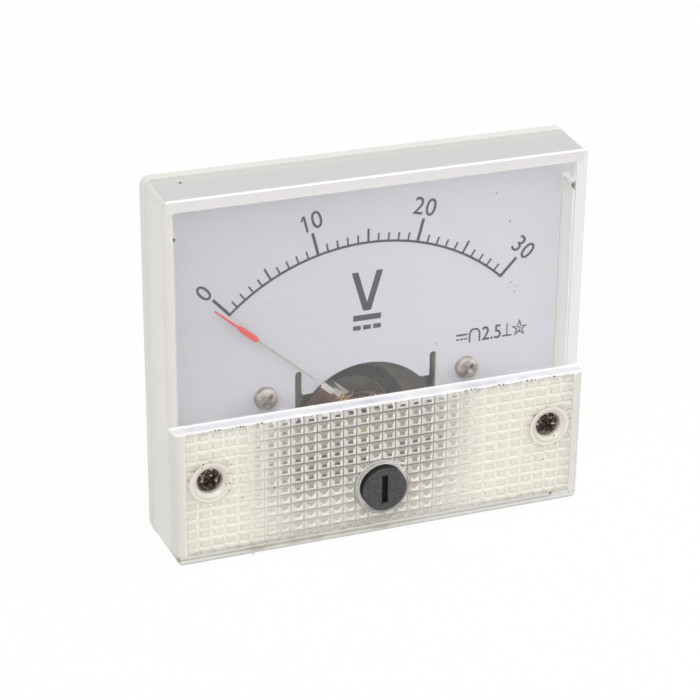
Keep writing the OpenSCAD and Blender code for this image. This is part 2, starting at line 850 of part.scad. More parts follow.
// ---- Zero adjuster ----

module zero_adjuster() color([0.1, 0.1, 0.11]) difference() {
    union() {
        rod(0, adjuster_z, adjuster_seat + screw_gap, adjuster_head_t - screw_gap, adjuster_r);
        rod(0, adjuster_z, adjuster_boss_back - snap_gap - eps, adjuster_seat + 2 * eps
            + screw_gap - adjuster_boss_back + snap_gap, shank_r);
        turned(0, adjuster_z) polygon([
            [0, adjuster_boss_back - snap_gap], [snap_r, adjuster_boss_back - snap_gap],
            [shank_r - snap_taper, adjuster_boss_back - snap_gap - snap_h],
            [0, adjuster_boss_back - snap_gap - snap_h]]);
        rod(0, adjuster_z + pin_offset, pin_end, adjuster_boss_back - pin_end, pin_r);
    }
    translate([0, 0, adjuster_z]) facing(adjuster_face - slot_deep, slot_deep + over)
        square([slot_width, 2 * slot_half], center = true);
}

// Lever that shifts the outer end of the front spring
module zero_lever() color("goldenrod") {
    facing(lever_back, lever_t) difference() {
        union() {
            translate([0, pivot_z]) circle(r = lever_ring_r);
            translate([-fork_half - fork_wall, fork_end])
                square([2 * (fork_half + fork_wall), pivot_z - fork_end]);
            translate([0, pivot_z]) rotate(-tab_angle) translate([-arm_w, 0])
                square([2 * arm_w, lever_tab_r + lever_t]);
        }
        translate([0, pivot_z]) circle(r = jewel_r + lever_gap);
        translate([-fork_half, fork_end - over])
            square([2 * fork_half, adjuster_z + pin_offset + pin_r + fork_depth - fork_end + over]);
    }
    swung(tab_angle) facing(spring_front_depth, lever_back - spring_front_depth + eps)
        translate([-arm_w, lever_tab_r]) square([2 * arm_w, lever_t]);
}

// ---- Magnet system ----

module ear_outline() {
    for (s = sides) {
        translate([s * ear_x, ear_z]) circle(r = ear_r);
        translate([s * dial_screw_x, dial_screw_z]) circle(r = ear_r);
        translate([s * (ear_x + dial_screw_x) / 2, (ear_z + dial_screw_z) / 2])
            square([2 * ear_r, dial_screw_z - ear_z], center = true);
        translate([s * (ear_x + yoke_r - ear_root) / 2, ear_z])
            square([ear_x - yoke_r + ear_root, 2 * ear_r], center = true);
    }
}

module yoke() color([0.3, 0.31, 0.3]) difference() {
    intersection() {
        union() {
            rod(0, pivot_z, yoke_back, yoke_t, yoke_r);
            facing(ear_back, ear_t) ear_outline();
        }
        rod(0, can_z, yoke_back - over, yoke_t + 2 * over, can_inner - yoke_gap);
    }
    rod(0, pivot_z, yoke_back - over, yoke_t + 2 * over, yoke_bore_r);
    for (s = sides) {
        rod(s * ear_x, ear_z, ear_back - over, ear_t + 2 * over, small_screw_r + screw_gap);
        rod(s * dial_screw_x, dial_screw_z, ear_back - over, ear_t + 2 * over,
            small_screw_r + screw_gap);
        rod(s * pillar_x, pivot_z, yoke_back - over, yoke_t + 2 * over,
            small_screw_r + screw_gap);
    }
}

module core_magnet() color([0.4, 0.4, 0.42])
    rod(0, pivot_z, core_back, core_front - core_back, core_r);

// Bar across the back of the core, held between the yoke and the rear pillars
module core_holder() color("goldenrod") difference() {
    facing(holder_back, holder_t) translate([0, pivot_z]) {
        rotate(holder_turn) square([2 * pillar_x, holder_w], center = true);
        for (s = sides) translate([s * pillar_x, 0]) circle(r = pillar_r);
    }
    for (s = sides) rod(s * pillar_x, pivot_z, holder_back - over, holder_t + 2 * over,
        small_screw_r + screw_gap);
}

module movement_screws() color("silver") for (s = sides)
    cross_screw(s * ear_x, ear_z, ear_front, small_head_r, small_head_h, small_screw_r,
        movement_screw_len);

// ---- Moving coil ----

// A loop round the core in the plane of the coil, with walls of thickness t
module coil_loop(r, front, back, t, w) {
    difference() {
        translate([-w / 2, -front - t, -r - t]) cube([w, front - back + 2 * t, 2 * (r + t)]);
        translate([-w / 2 - over, -front, -r]) cube([w + 2 * over, front - back, 2 * r]);
    }
}

module coil_former() color("silver") swung(pointer_rest)
    coil_loop(coil_r, front_inner, rear_inner, former_t, coil_w);

module coil_winding() color([0.62, 0.32, 0.2]) swung(pointer_rest)
    coil_loop(coil_r + former_t, front_inner + former_t, rear_inner - former_t, winding_t,
        coil_w - 2 * winding_inset);

// Needle with a blade near its tip, on a stepped tab that lifts it off the coil
module pointer() color([0.8, 0.2, 0.15]) swung(pointer_rest) translate([needle_side, 0, 0]) {
    facing(pointer_depth, pointer_t) {
        translate([-needle_w / 2, rise_r3 - needle_w])
            square([needle_w, blade_r0 - rise_r3 + needle_w + blade_lead]);
        polygon([[-needle_w / 2, blade_r0], [-blade_w / 2, blade_r0 + blade_lead],
            [-blade_w / 2, blade_r1 - blade_taper], [-tip_w / 2, blade_r1],
            [-needle_w / 2, pointer_r], [needle_w / 2, pointer_r], [tip_w / 2, blade_r1],
            [blade_w / 2, blade_r1 - blade_taper], [blade_w / 2, blade_r0 + blade_lead],
            [needle_w / 2, blade_r0]]);
    }
    side_view(tab_w) polygon([
        [hub_front, tab_r0], [hub_front + pointer_t, tab_r0],
        [hub_front + pointer_t, rise_r0 - pointer_t], [step_depth + pointer_t, rise_r0 - pointer_t],
        [step_depth + pointer_t, rise_r1], [pointer_depth + pointer_t, rise_r2],
        [pointer_depth + pointer_t, rise_r3], [pointer_depth, rise_r3],
        [pointer_depth, rise_r2 + pointer_t], [step_depth, rise_r1 + pointer_t],
        [step_depth, rise_r0], [hub_front, rise_r0]]);
}

// Plate on the front of the coil with three arms for the balance weights
module pointer_hub() color("silver") swung(pointer_rest) facing(coil_front, hub_t)
    difference() {
        union() {
            circle(r = hub_r);
            translate([-tab_w / 2, 0]) square([tab_w, tab_r0 + tab_foot]);
            translate([-tab_w / 2, tab_r0]) square([needle_side + tab_w, tab_foot]);
            translate([needle_side - tab_w / 2, tab_r0]) square([tab_w, rise_r0 - tab_r0]);
            translate([-arm_len, -arm_w / 2]) square([2 * arm_len, arm_w]);
            translate([-arm_w / 2, -tail_len]) square([arm_w, tail_len]);
        }
        circle(r = pivot_r + fit_gap);
    }

// Small wire rolls on the ends of the balance arms
module balance_weights() color("silver") swung(pointer_rest) {
    for (s = sides) rotate([0, s * 90, 0])
        translate([0, -hub_front - weight_r, arm_len - weight_len])
            cylinder(h = weight_len, r = weight_r);
    translate([0, -hub_front - weight_r, -tail_len])
        cylinder(h = tail_weight_len, r = weight_r);
}

// A turned pivot with a cone at its end and a collet for the spring
module pivot(foot, tip, dir) {
    neck = tip - dir * (pivot_point + pivot_neck);
    turned(0, pivot_z) polygon([
        [0, foot], [pivot_r, foot], [pivot_r, foot + dir * pivot_foot],
        [collet_r, foot + dir * pivot_foot], [collet_r, neck], [pivot_r, neck],
        [pivot_r, tip - dir * pivot_point], [pivot_end_r, tip], [0, tip]]);
}

module front_pivot() color("gray")
    pivot(coil_front, jewel_front_tip + jewel_cup - pivot_gap, 1);

module rear_pivot() color("gray")
    pivot(coil_back, jewel_rear_tip - jewel_cup + pivot_gap, -1);

// ---- Springs ----

function spiral_r(i, count) = spring_core_r + (spring_r - spring_core_r) * i / count;

// Flat spiral spring as one strip
module spiral_spring() {
    count = spring_turns * spring_steps;
    polygon(concat(
        [for (i = [0:count]) let (a = i * 360 / spring_steps, r = spiral_r(i, count))
            r * [cos(a), sin(a)]],
        [for (i = [count:-1:0]) let (a = i * 360 / spring_steps,
            r = spiral_r(i, count) - spring_strip) r * [cos(a), sin(a)]]));
}

module hairspring_front() color([0.7, 0.5, 0.3]) facing(spring_front_depth, spring_h)
    translate([0, pivot_z]) rotate(90 - tab_angle) spiral_spring();

module hairspring_rear() color([0.7, 0.5, 0.3]) facing(spring_rear_depth, spring_h)
    translate([0, pivot_z]) spiral_spring();

// ---- Bridges ----

module bridge(depth) {
    difference() {
        facing(depth, bridge_t) translate([0, pivot_z]) {
            square([2 * pillar_x, bridge_w], center = true);
            for (s = sides) translate([s * pillar_x, 0]) circle(r = bridge_end_r);
        }
        rod(0, pivot_z, depth - over, bridge_t + 2 * over, jewel_r + screw_gap);
        for (s = sides) rod(s * pillar_x, pivot_z, depth - over, bridge_t + 2 * over,
            small_screw_r + screw_gap);
    }
}

module front_bridge() color([0.75, 0.75, 0.77]) bridge(bridge_front_back);

// The rear bridge also has the post that holds the outer end of the rear spring
module rear_bridge() color([0.75, 0.75, 0.77]) {
    bridge(bridge_rear_face);
    translate([lever_tab_r, 0, pivot_z]) facing(bridge_rear_front - eps, spring_rear_depth
        + spring_h - bridge_rear_front + eps) translate([0, -arm_w])
            square([lever_t, 2 * arm_w]);
}

module bridge_pillars() color("goldenrod") for (s = sides) {
    washer(s * pillar_x, pivot_z, yoke_front, pillar_front, pillar_r,
        small_screw_r + screw_gap);
    washer(s * pillar_x, pivot_z, bridge_rear_front, pillar_rear, pillar_r,
        small_screw_r + screw_gap);
}

module bridge_screws() color("silver") for (s = sides) {
    cross_screw(s * pillar_x, pivot_z, bridge_front_face, small_head_r, small_head_h,
        small_screw_r, pillar_front + bridge_t + yoke_t / 2 - blind_gap);
    mirror([0, 1, 0]) cross_screw(s * pillar_x, pivot_z, -bridge_rear_face, small_head_r,
        small_head_h, small_screw_r, pillar_rear + bridge_t + holder_t + yoke_t / 2
        - blind_gap);
}

// Threaded jewel holder: a cup for the pivot at one end and a slot at the other
module jewel_screw(tip, head, dir) {
    difference() {
        rod(0, pivot_z, min(tip, head), abs(head - tip), jewel_r);
        turned(0, pivot_z) polygon([
            [0, tip - dir * over], [pivot_r + cup_gap + over * cup_slope, tip - dir * over],
            [pivot_r + cup_gap, tip], [cup_end_r, tip + dir * jewel_cup],
            [0, tip + dir * jewel_cup]]);
        translate([0, -head, pivot_z])
            cube([3 * jewel_r, 2 * slot_cut_d, slot_cut_w], center = true);
    }
}

module jewel_screws() color("goldenrod") {
    jewel_screw(jewel_front_tip, jewel_head, 1);
    jewel_screw(jewel_rear_tip, jewel_rear_head, -1);
}

module jewel_nuts() color("silver") {
    hex_nut(0, pivot_z, lever_face + lever_gap, jewel_nut_t, jewel_nut_r, jewel_r + fit_gap);
    hex_nut(0, pivot_z, bridge_rear_face - jewel_nut_t, jewel_nut_t, jewel_nut_r,
        jewel_r + fit_gap);
}

// ---- Rear fittings ----

module terminal_studs() color("goldenrod") for (s = sides) {
    rod(s * terminal_x, terminal_z, terminal_end, terminal_nut_end - terminal_end, terminal_r);
    rod(s * terminal_x, terminal_z, terminal_nut_end - eps, can_floor - terminal_nut_end
        + 2 * eps, terminal_core_r);
    rod(s * terminal_x, terminal_z, can_floor, terminal_head_t, terminal_head_r);
}

module terminal_nuts() color("goldenrod") for (s = sides) {
    hex_nut(s * terminal_x, terminal_z, terminal_start - nut_m4_t, nut_m4_t, nut_m4_r,
        terminal_core_r + fit_gap);
    hex_nut(s * terminal_x, terminal_z, terminal_nut_end, nut_m4_t, nut_m4_r,
        terminal_core_r + fit_gap);
}

module terminal_washers() color("silver") for (s = sides) {
    washer(s * terminal_x, terminal_z, terminal_start - nut_m4_t - washer_t, washer_t,
        washer_m4_r, terminal_r + fit_gap);
    washer(s * terminal_x, terminal_z, terminal_start - nut_m4_t - 2 * washer_t - lug_t,
        washer_t, washer_m4_r, terminal_r + fit_gap);
}

// Solder lug: a ring with a tail and an eye
module solder_lugs() color("silver") for (s = sides)
    translate([s * terminal_x, 0, terminal_z])
        facing(terminal_start - nut_m4_t - washer_t - lug_t, lug_t) difference() {
            union() {
                circle(r = lug_r);
                translate([-lug_tail_w / 2, 0]) square([lug_tail_w, lug_len - lug_tail_w / 2]);
                translate([0, lug_len - lug_tail_w / 2]) circle(r = lug_tail_w / 2);
            }
            circle(r = terminal_r + fit_gap);
            translate([0, lug_len - lug_tail_w / 2]) circle(r = lug_eye_r);
        }

module mounting_studs() color("goldenrod") for (s = sides, t = sides) {
    rod(s * stud_x, t * stud_z, -stud_len, stud_len + stud_nut_end, stud_r);
    rod(s * stud_x, t * stud_z, stud_nut_end - eps, flange_t - stud_nut_end + eps,
        stud_core_r);
    rod(s * stud_x, t * stud_z, flange_t - stud_head_t / 2, stud_head_t, stud_head_r);
}

module mounting_nuts() color("goldenrod") for (s = sides, t = sides)
    hex_nut(s * stud_x, t * stud_z, stud_nut_end, nut_m3_t, nut_m3_r,
        stud_core_r + fit_gap);

module mounting_washers() color("silver") for (s = sides, t = sides)
    washer(s * stud_x, t * stud_z, -panel_t - washer_t, washer_t, washer_m3_r,
        stud_r + fit_gap);

// Series resistor from the left terminal to the rear bridge
module series_resistor() color([0.7, 0.85, 0.9]) {
    tail = bridge_rear_face - small_head_h;
    translate([-pillar_x, -resistor_depth, pivot_z]) {
        cylinder(h = terminal_z - pivot_z + resistor_wire_r, r = resistor_wire_r);
        translate([0, 0, (terminal_z - pivot_z - resistor_len) / 2])
            cylinder(h = resistor_len, r = resistor_r);
    }
    rod(-pillar_x, pivot_z, resistor_depth - resistor_wire_r, tail - resistor_depth
        + resistor_wire_r, resistor_wire_r);
    rod(-pillar_x, terminal_z, can_floor + terminal_head_t, resistor_depth - can_floor
        - terminal_head_t + resistor_wire_r, resistor_wire_r);
}

// Wire from the right terminal to the edge of the yoke's ear
module lead_wire() color([0.75, 0.15, 0.1]) {
    x = terminal_x + wire_inset;
    top = dial_screw_z + ear_r;
    rod(x, terminal_z, can_floor + terminal_head_t, wire_depth - can_floor - terminal_head_t
        + wire_r, wire_r);
    translate([x, -wire_depth, top]) cylinder(h = terminal_z - top + wire_r, r = wire_r);
}

front_cover();
base();
dial_plate();
dial_scale();
dial_screws();
dial_posts();
cover_screws();
zero_adjuster();
zero_lever();
yoke();
core_magnet();
core_holder();
coil_former();
coil_winding();
pointer();
pointer_hub();
balance_weights();
front_pivot();
rear_pivot();
hairspring_front();
hairspring_rear();
front_bridge();
rear_bridge();
bridge_pillars();
bridge_screws();
jewel_screws();
jewel_nuts();
movement_screws();
terminal_studs();
terminal_nuts();
terminal_washers();
solder_lugs();
mounting_studs();
mounting_nuts();
mounting_washers();
series_resistor();
lead_wire();
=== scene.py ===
import bpy
import json
import math
from mathutils import Matrix, Vector


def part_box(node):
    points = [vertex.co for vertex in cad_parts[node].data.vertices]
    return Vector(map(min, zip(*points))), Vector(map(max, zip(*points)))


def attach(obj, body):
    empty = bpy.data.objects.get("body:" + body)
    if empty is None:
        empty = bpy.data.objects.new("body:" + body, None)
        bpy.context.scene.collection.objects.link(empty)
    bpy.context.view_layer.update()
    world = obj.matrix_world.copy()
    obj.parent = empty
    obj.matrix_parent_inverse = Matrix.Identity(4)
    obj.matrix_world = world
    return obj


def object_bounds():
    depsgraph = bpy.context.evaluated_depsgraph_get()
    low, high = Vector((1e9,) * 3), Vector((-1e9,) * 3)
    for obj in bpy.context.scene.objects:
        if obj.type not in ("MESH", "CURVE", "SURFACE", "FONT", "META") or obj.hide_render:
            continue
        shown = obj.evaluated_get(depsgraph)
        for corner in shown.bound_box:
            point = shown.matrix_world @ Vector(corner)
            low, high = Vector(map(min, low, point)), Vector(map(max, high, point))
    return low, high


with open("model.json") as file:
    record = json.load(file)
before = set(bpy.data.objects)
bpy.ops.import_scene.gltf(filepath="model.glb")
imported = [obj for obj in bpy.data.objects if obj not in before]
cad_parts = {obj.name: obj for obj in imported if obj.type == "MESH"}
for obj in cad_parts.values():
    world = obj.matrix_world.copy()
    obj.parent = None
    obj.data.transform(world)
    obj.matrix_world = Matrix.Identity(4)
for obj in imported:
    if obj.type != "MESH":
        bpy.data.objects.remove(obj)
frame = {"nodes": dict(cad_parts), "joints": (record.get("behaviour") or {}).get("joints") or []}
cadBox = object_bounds()
nodes = frame["nodes"]
joints = {joint["name"]: joint for joint in frame["joints"]}
mm = 0.001
pivot = Vector(joints["pointer_swing"]["pos_m"])
shelfZ = -6.3 * mm  # height of the shelf over the cover's lower band
inkThick = 0.03 * mm
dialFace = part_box("dial_plate")[0].y - 0.016 * mm  # depth at which the print's middle lies


def centreOf(name):
    low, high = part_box(name)
    return (low + high) / 2


def deselectAll():
    if bpy.context.object and bpy.context.object.mode != "OBJECT":
        bpy.ops.object.mode_set(mode="OBJECT")
    bpy.ops.object.select_all(action="DESELECT")


def activate(piece):
    deselectAll()
    piece.select_set(True)
    bpy.context.view_layer.objects.active = piece


def applyPlace(piece):
    activate(piece)
    bpy.ops.object.transform_apply(location=True, rotation=True, scale=True)


def applyModifier(piece, kind, **values):
    activate(piece)
    modifier = piece.modifiers.new(kind.title(), kind)
    for key, value in values.items():
        setattr(modifier, key, value)
    bpy.ops.object.modifier_apply(modifier=modifier.name)


def joinPieces(pieces, name):
    activate(pieces[0])
    for piece in pieces:
        piece.select_set(True)
    if len(pieces) > 1:
        bpy.ops.object.join()
    piece = bpy.context.object
    piece.name = name
    piece.data.name = name
    return piece


def finishPiece(piece, body, material):
    applyPlace(piece)
    piece.data.materials.clear()
    piece.data.materials.append(material)
    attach(piece, body)


def newMaterial(name):
    material = bpy.data.materials.new(name)
    material.use_nodes = True
    tree = material.node_tree
    return material, tree, tree.nodes["Principled BSDF"]


def addNode(tree, kind, inputs=None, **values):
    node = tree.nodes.new(kind)
    for key, value in values.items():
        setattr(node, key, value)
    for key, value in (inputs or {}).items():
        node.inputs[key].default_value = value
    return node


def objectPlace(tree):
    return addNode(tree, "ShaderNodeTexCoord").outputs["Object"]


def noise(tree, scale, detail=3.0, roughness=0.5):
    node = addNode(tree, "ShaderNodeTexNoise",
                   {"Scale": scale, "Detail": detail, "Roughness": roughness})
    tree.links.new(objectPlace(tree), node.inputs["Vector"])
    return node.outputs["Fac"]


def remap(tree, value, low, high, newLow=0.0, newHigh=1.0):
    node = addNode(tree, "ShaderNodeMapRange", {"From Min": low, "From Max": high,
                                                "To Min": newLow, "To Max": newHigh})
    tree.links.new(value, node.inputs["Value"])
    return node.outputs["Result"]


def mixColours(tree, factor, first, second):
    node = addNode(tree, "ShaderNodeMix", data_type="RGBA")
    tree.links.new(factor, node.inputs["Factor"])
    sockets = [s for s in node.inputs if s.type == "RGBA"]
    for socket, value in zip(sockets, (first, second)):
        if isinstance(value, tuple):
            socket.default_value = (*value, 1.0)
        else:
            tree.links.new(value, socket)
    return [s for s in node.outputs if s.type == "RGBA"][0]


def addBump(tree, shader, height, strength, distance):
    node = addNode(tree, "ShaderNodeBump", {"Strength": strength, "Distance": distance})
    tree.links.new(height, node.inputs["Height"])
    tree.links.new(node.outputs["Normal"], shader.inputs["Normal"])


def plastic(name, colour, shade, roughness=0.45, grain=900, patch=60, bump=0.15):
    material, tree, shader = newMaterial(name)
    colourOut = mixColours(tree, remap(tree, noise(tree, patch), 0.35, 0.7), colour, shade)
    tree.links.new(colourOut, shader.inputs["Base Color"])
    tree.links.new(remap(tree, noise(tree, grain), 0.3, 0.7, roughness - 0.06, roughness + 0.06),
                   shader.inputs["Roughness"])
    addBump(tree, shader, noise(tree, grain), bump, 0.02 * mm)
    return material


def metal(name, colour, shade, roughness=0.3, grain=1500, patch=300, bump=0.1):
    material, tree, shader = newMaterial(name)
    shader.inputs["Metallic"].default_value = 1.0
    colourOut = mixColours(tree, remap(tree, noise(tree, patch), 0.35, 0.65), colour, shade)
    tree.links.new(colourOut, shader.inputs["Base Color"])
    tree.links.new(remap(tree, noise(tree, grain), 0.3, 0.7, roughness - 0.08, roughness + 0.12),
                   shader.inputs["Roughness"])
    addBump(tree, shader, noise(tree, grain), bump, 0.02 * mm)
    return material


def rusty(name, steel, rust, amount, roughness=0.35, rustRoughness=0.9, grain=1800, edge=0.05):
    # Steel under patches of dark rust
    material, tree, shader = newMaterial(name)
    patches = remap(tree, noise(tree, grain, 5.0, 0.65), amount - edge, amount + edge)
    colourOut = mixColours(tree, patches, rust, steel)
    tree.links.new(colourOut, shader.inputs["Base Color"])
    tree.links.new(patches, shader.inputs["Metallic"])
    tree.links.new(remap(tree, patches, 0.0, 1.0, rustRoughness, roughness),
                   shader.inputs["Roughness"])
    addBump(tree, shader, noise(tree, grain, 4.0), 0.5, 0.06 * mm)
    return material


def rising(tree, value, span, start=0.0):
    # 0 at the span's first place and 1 at its second, in millimetres from the start
    return remap(tree, value, start + span[0] * mm, start + span[1] * mm)


def inside(tree, value, span, start=0.0):
    # 1 between the span's first and second place, with ends as soft as its third number
    low, high, soft = (place * mm for place in span)
    first = remap(tree, value, start + low - soft, start + low + soft)
    second = remap(tree, value, start + high - soft, start + high + soft, 1.0, 0.0)
    return joined(tree, "MULTIPLY", first, second)


def joined(tree, operation, first, second):
    node = addNode(tree, "ShaderNodeMath", operation=operation)
    for socket, value in zip(node.inputs, (first, second)):
        if isinstance(value, float):
            socket.default_value = value
        else:
            tree.links.new(value, socket)
    return node.outputs[0]


def absolute(tree, value):
    return joined(tree, "ABSOLUTE", value, 0.0)


def distanceTo(tree, x, z):
    # Distance from an axis that runs through the front at x and z, on either side
    parts = addNode(tree, "ShaderNodeSeparateXYZ")
    tree.links.new(objectPlace(tree), parts.inputs["Vector"])
    spot = addNode(tree, "ShaderNodeCombineXYZ")
    tree.links.new(absolute(tree, parts.outputs["X"]), spot.inputs["X"])
    tree.links.new(parts.outputs["Z"], spot.inputs["Z"])
    node = addNode(tree, "ShaderNodeVectorMath", {1: (x, 0.0, z)}, operation="DISTANCE")
    tree.links.new(spot.outputs["Vector"], node.inputs[0])
    return node.outputs["Value"]


def fraction(tree, value, pitch, start):
    # Place within a cell, from -0.5 to 0.5
    steps = joined(tree, "DIVIDE", joined(tree, "SUBTRACT", value, start), pitch)
    return joined(tree, "SUBTRACT", joined(tree, "FRACT", steps, 0.0), 0.5)


# Cells of the waffle pattern: places in metres, shares of a cell, and the slopes' tones, which are
# painted light and shade
waffle = {
    "wide": 2.01 * mm, "high": 1.55 * mm, "lowestRidge": -25.21 * mm, "middle": -3.0 * mm,
    "slopeWide": 0.264, "slopeHigh": 0.274, "floorWide": 0.205, "floorHigh": 0.14,
    "slopes": 0.93, "floors": 0.04, "floorSoft": 0.02, "floorFrom": 0.15,
    "shadeLineFade": (0.10, 0.22), "ridgeHighlightFade": (0.65, 0.4),
    "strongNear": (19 * mm, 10 * mm, 0.08), "strongAbove": (-24 * mm, -17 * mm, 0.6),
    "clearAbove": (-20 * mm, -17.5 * mm, 0.2),
    # Slope tones: right and foot are painted light, left and top painted shade, the dark line tone
    # painted shade along the ridges and the ridge tone a painted highlight
    "right": (0.99, 0.975, 0.955), "left": (0.80, 0.76, 0.71), "top": (0.34, 0.31, 0.27),
    "foot": (0.98, 0.96, 0.93), "line": (0.20, 0.18, 0.155), "plain": (0.80, 0.77, 0.67),
    "ridgeHighlight": (0.90, 0.88, 0.83),
}


def waffleShading(tree, x, z, values):
    # Tone of the pockets' slopes and how milky they are, from the place in a cell; the tones and the
    # milky slopes are painted light and shade for light bent and reflected in the clear pockets
    across = fraction(tree, x, values["wide"], 0.0)
    upward = fraction(tree, z, values["high"], values["lowestRidge"])
    fromMiddle, fromHalfway = absolute(tree, across), absolute(tree, upward)
    acrossEdge = joined(tree, "DIVIDE", joined(tree, "SUBTRACT", 0.5, fromMiddle),
                        values["slopeWide"])
    upEdge = joined(tree, "DIVIDE", joined(tree, "SUBTRACT", 0.5, fromHalfway),
                    values["slopeHigh"])
    sideways = joined(tree, "GREATER_THAN", upEdge, acrossEdge)
    toRight = joined(tree, "GREATER_THAN", across, 0.0)
    toFoot = joined(tree, "LESS_THAN", upward, 0.0)
    # Painted light on the right and foot slopes, painted shade on the left and top ones
    sideLightAndShade = mixColours(tree, toRight, values["left"], values["right"])
    endLightAndShade = mixColours(tree, toFoot, values["top"], values["foot"])
    tone = mixColours(tree, sideways, endLightAndShade, sideLightAndShade)
    edge = joined(tree, "MINIMUM", acrossEdge, upEdge)
    # Painted shade along the ridges
    tone = mixColours(tree, remap(tree, edge, *values["shadeLineFade"]), values["line"], tone)
    # Away from the middle, a painted highlight on the ridges over plain cream
    faintShading = mixColours(tree, remap(tree, edge, *values["ridgeHighlightFade"]), values["plain"],
                       values["ridgeHighlight"])

    # The painted light and shade on the slopes shows strongly in the middle of the band and fades
    # towards its ends and foot
    away = absolute(tree, joined(tree, "SUBTRACT", x, values["middle"]))
    near = remap(tree, away, *values["strongNear"])
    strong = joined(tree, "MULTIPLY", near, remap(tree, z, *values["strongAbove"]))
    tone = mixColours(tree, strong, faintShading, tone)

    # The flat floors between the slopes are clear
    soft = values["floorSoft"]
    flat = joined(tree, "MULTIPLY",
                  remap(tree, fromMiddle, values["floorWide"] + soft, values["floorWide"] - soft),
                  remap(tree, fromHalfway, values["floorHigh"] + soft, values["floorHigh"] - soft))
    seen = joined(tree, "MULTIPLY", near, remap(tree, z, *values["clearAbove"]))
    floors = remap(tree, seen, values["floorFrom"], 1.0, values["slopes"], values["floors"])
    gap = joined(tree, "SUBTRACT", floors, values["slopes"])
    milk = joined(tree, "ADD", joined(tree, "MULTIPLY", flat, gap), values["slopes"])
    return tone, milk


def layered(tree, under, mask, over):
    # One pair of milkiness and tone laid over another where the mask is 1
    milk = addNode(tree, "ShaderNodeMix", data_type="FLOAT")
    tree.links.new(mask, milk.inputs["Factor"])
    for socket, value in zip([s for s in milk.inputs if s.type == "VALUE"][1:3],
                             (under[0], over[0])):
        if isinstance(value, float):
            socket.default_value = value
        else:
            tree.links.new(value, socket)
    return milk.outputs[0], mixColours(tree, mask, under[1], over[1])


# Looks of the cover's parts; a pair is how milky the part is and its tone
clearCover = {
    "roughness": 0.04, "milkRoughness": 0.3, "ior": 1.49, "through": (0.985, 0.985, 0.98),
    "toneGain": 4.0, "patches": 260, "ripples": 120, "rippleStrength": 0.03,
    "rippleHeight": 0.1 * mm, "bandMilk": 0.03, "rimMilk": 0.92,
    "window": (0.015, (0.86, 0.85, 0.82)),
    # Left wall and front are toned darker than the right ones: painted shade on the left, painted
    # light on the right
    "shadedLeftWall": (0.80, (0.86, 0.845, 0.80)), "litRightWall": (0.80, (0.95, 0.94, 0.93)),
    "shadedLeftFront": (0.85, (0.755, 0.733, 0.70)), "litRightFront": (0.80, (0.87, 0.855, 0.84)),
    "bandFront": (0.85, (0.755, 0.738, 0.685)),
    "topRear": (0.85, (0.70, 0.69, 0.66)), "top": (0.85, (0.65, 0.64, 0.635)),
    # The edge line tone is a painted highlight along the top front edge
    "topFront": (0.85, (0.775, 0.755, 0.745)), "edgeHighlight": (0.95, (0.97, 0.97, 0.96)),
    "footHigh": (0.80, (0.76, 0.75, 0.71)), "footLine": (0.85, (0.50, 0.485, 0.43)),
    "footOlive": (0.90, (0.38, 0.36, 0.27)), "footBright": (0.85, (0.80, 0.79, 0.77)),
    # The shelf's white tone is a painted highlight and its lilac middle tone painted shade
    "footLow": (0.85, (0.60, 0.575, 0.55)), "shelfHighlight": (0.95, (0.96, 0.95, 0.96)),
    "shelfMiddleShade": (0.90, (0.68, 0.67, 0.77)), "bosses": (0.90, (0.76, 0.73, 0.65)),
    "stain": (0.90, (0.62, 0.54, 0.43)), "recess": (0.45, (0.90, 0.88, 0.85)),
    # Round the adjuster: the ring tone is a painted highlight, the line tone painted shade
    "knobHighlightRing": (0.85, (0.95, 0.94, 0.92)), "knobShadeLine": (0.80, (0.33, 0.31, 0.28)),
    "chip": (0.95, (0.42, 0.39, 0.27)),
}

# Places of those parts in millimetres: a pair runs from nothing to full, three numbers
# are two limits and how soft they are
coverPlaces = {
    "leftHalf": (1.0, -1.0), "front": (-9.4, -9.6), "seat": (-3.3, -3.7),
    "fromLeft": {"wall": (2.2, 1.9), "border": (1.7, 1.5)},
    "fromRight": {"border": (-2.2, -2.0), "end": (-0.7, -1.0)},
    "fromTop": {"wall": (-2.1, -1.9), "edge": (-0.5, -0.44)},
    "fromShelf": {"above": (0.0, 0.2), "below": (-0.2, -0.4), "shelf": (-0.12, 0.1, 0.06)},
    "shelfMiddleShade": (-11.9, -10.6, 0.3),
    "behindBand": (-12.0, -11.8), "pockets": (-10.6, -10.8), "pocketEnd": (30.3, 30.15),
    "foot": (-25.75, -25.85), "footLine": (-26.45, -26.2, 0.06), "footEnd": (27.2, 26.6),
    "footOlive": (-26.75, -26.05, 0.1), "oliveAcross": (-24.0, 4.0, 3.0),
    "footBright": (-26.95, -26.5, 0.06), "footLow": (-26.9, -27.0),
    "wellSpan": 52.6, "wellRim": (3.6, 3.4), "boss": (3.3, 3.1), "stain": (2.45, 2.7, 0.12),
    "knobRim": (4.75, 4.6), "recess": (4.05, 3.9), "knobShadeLine": (4.05, 4.2, 0.06),
    "knobHighlightRing": (3.7, 3.98, 0.06),
    "chipAcross": (-31.6, -31.0, 0.1), "chipUp": (-26.8, -25.9, 0.15),
}


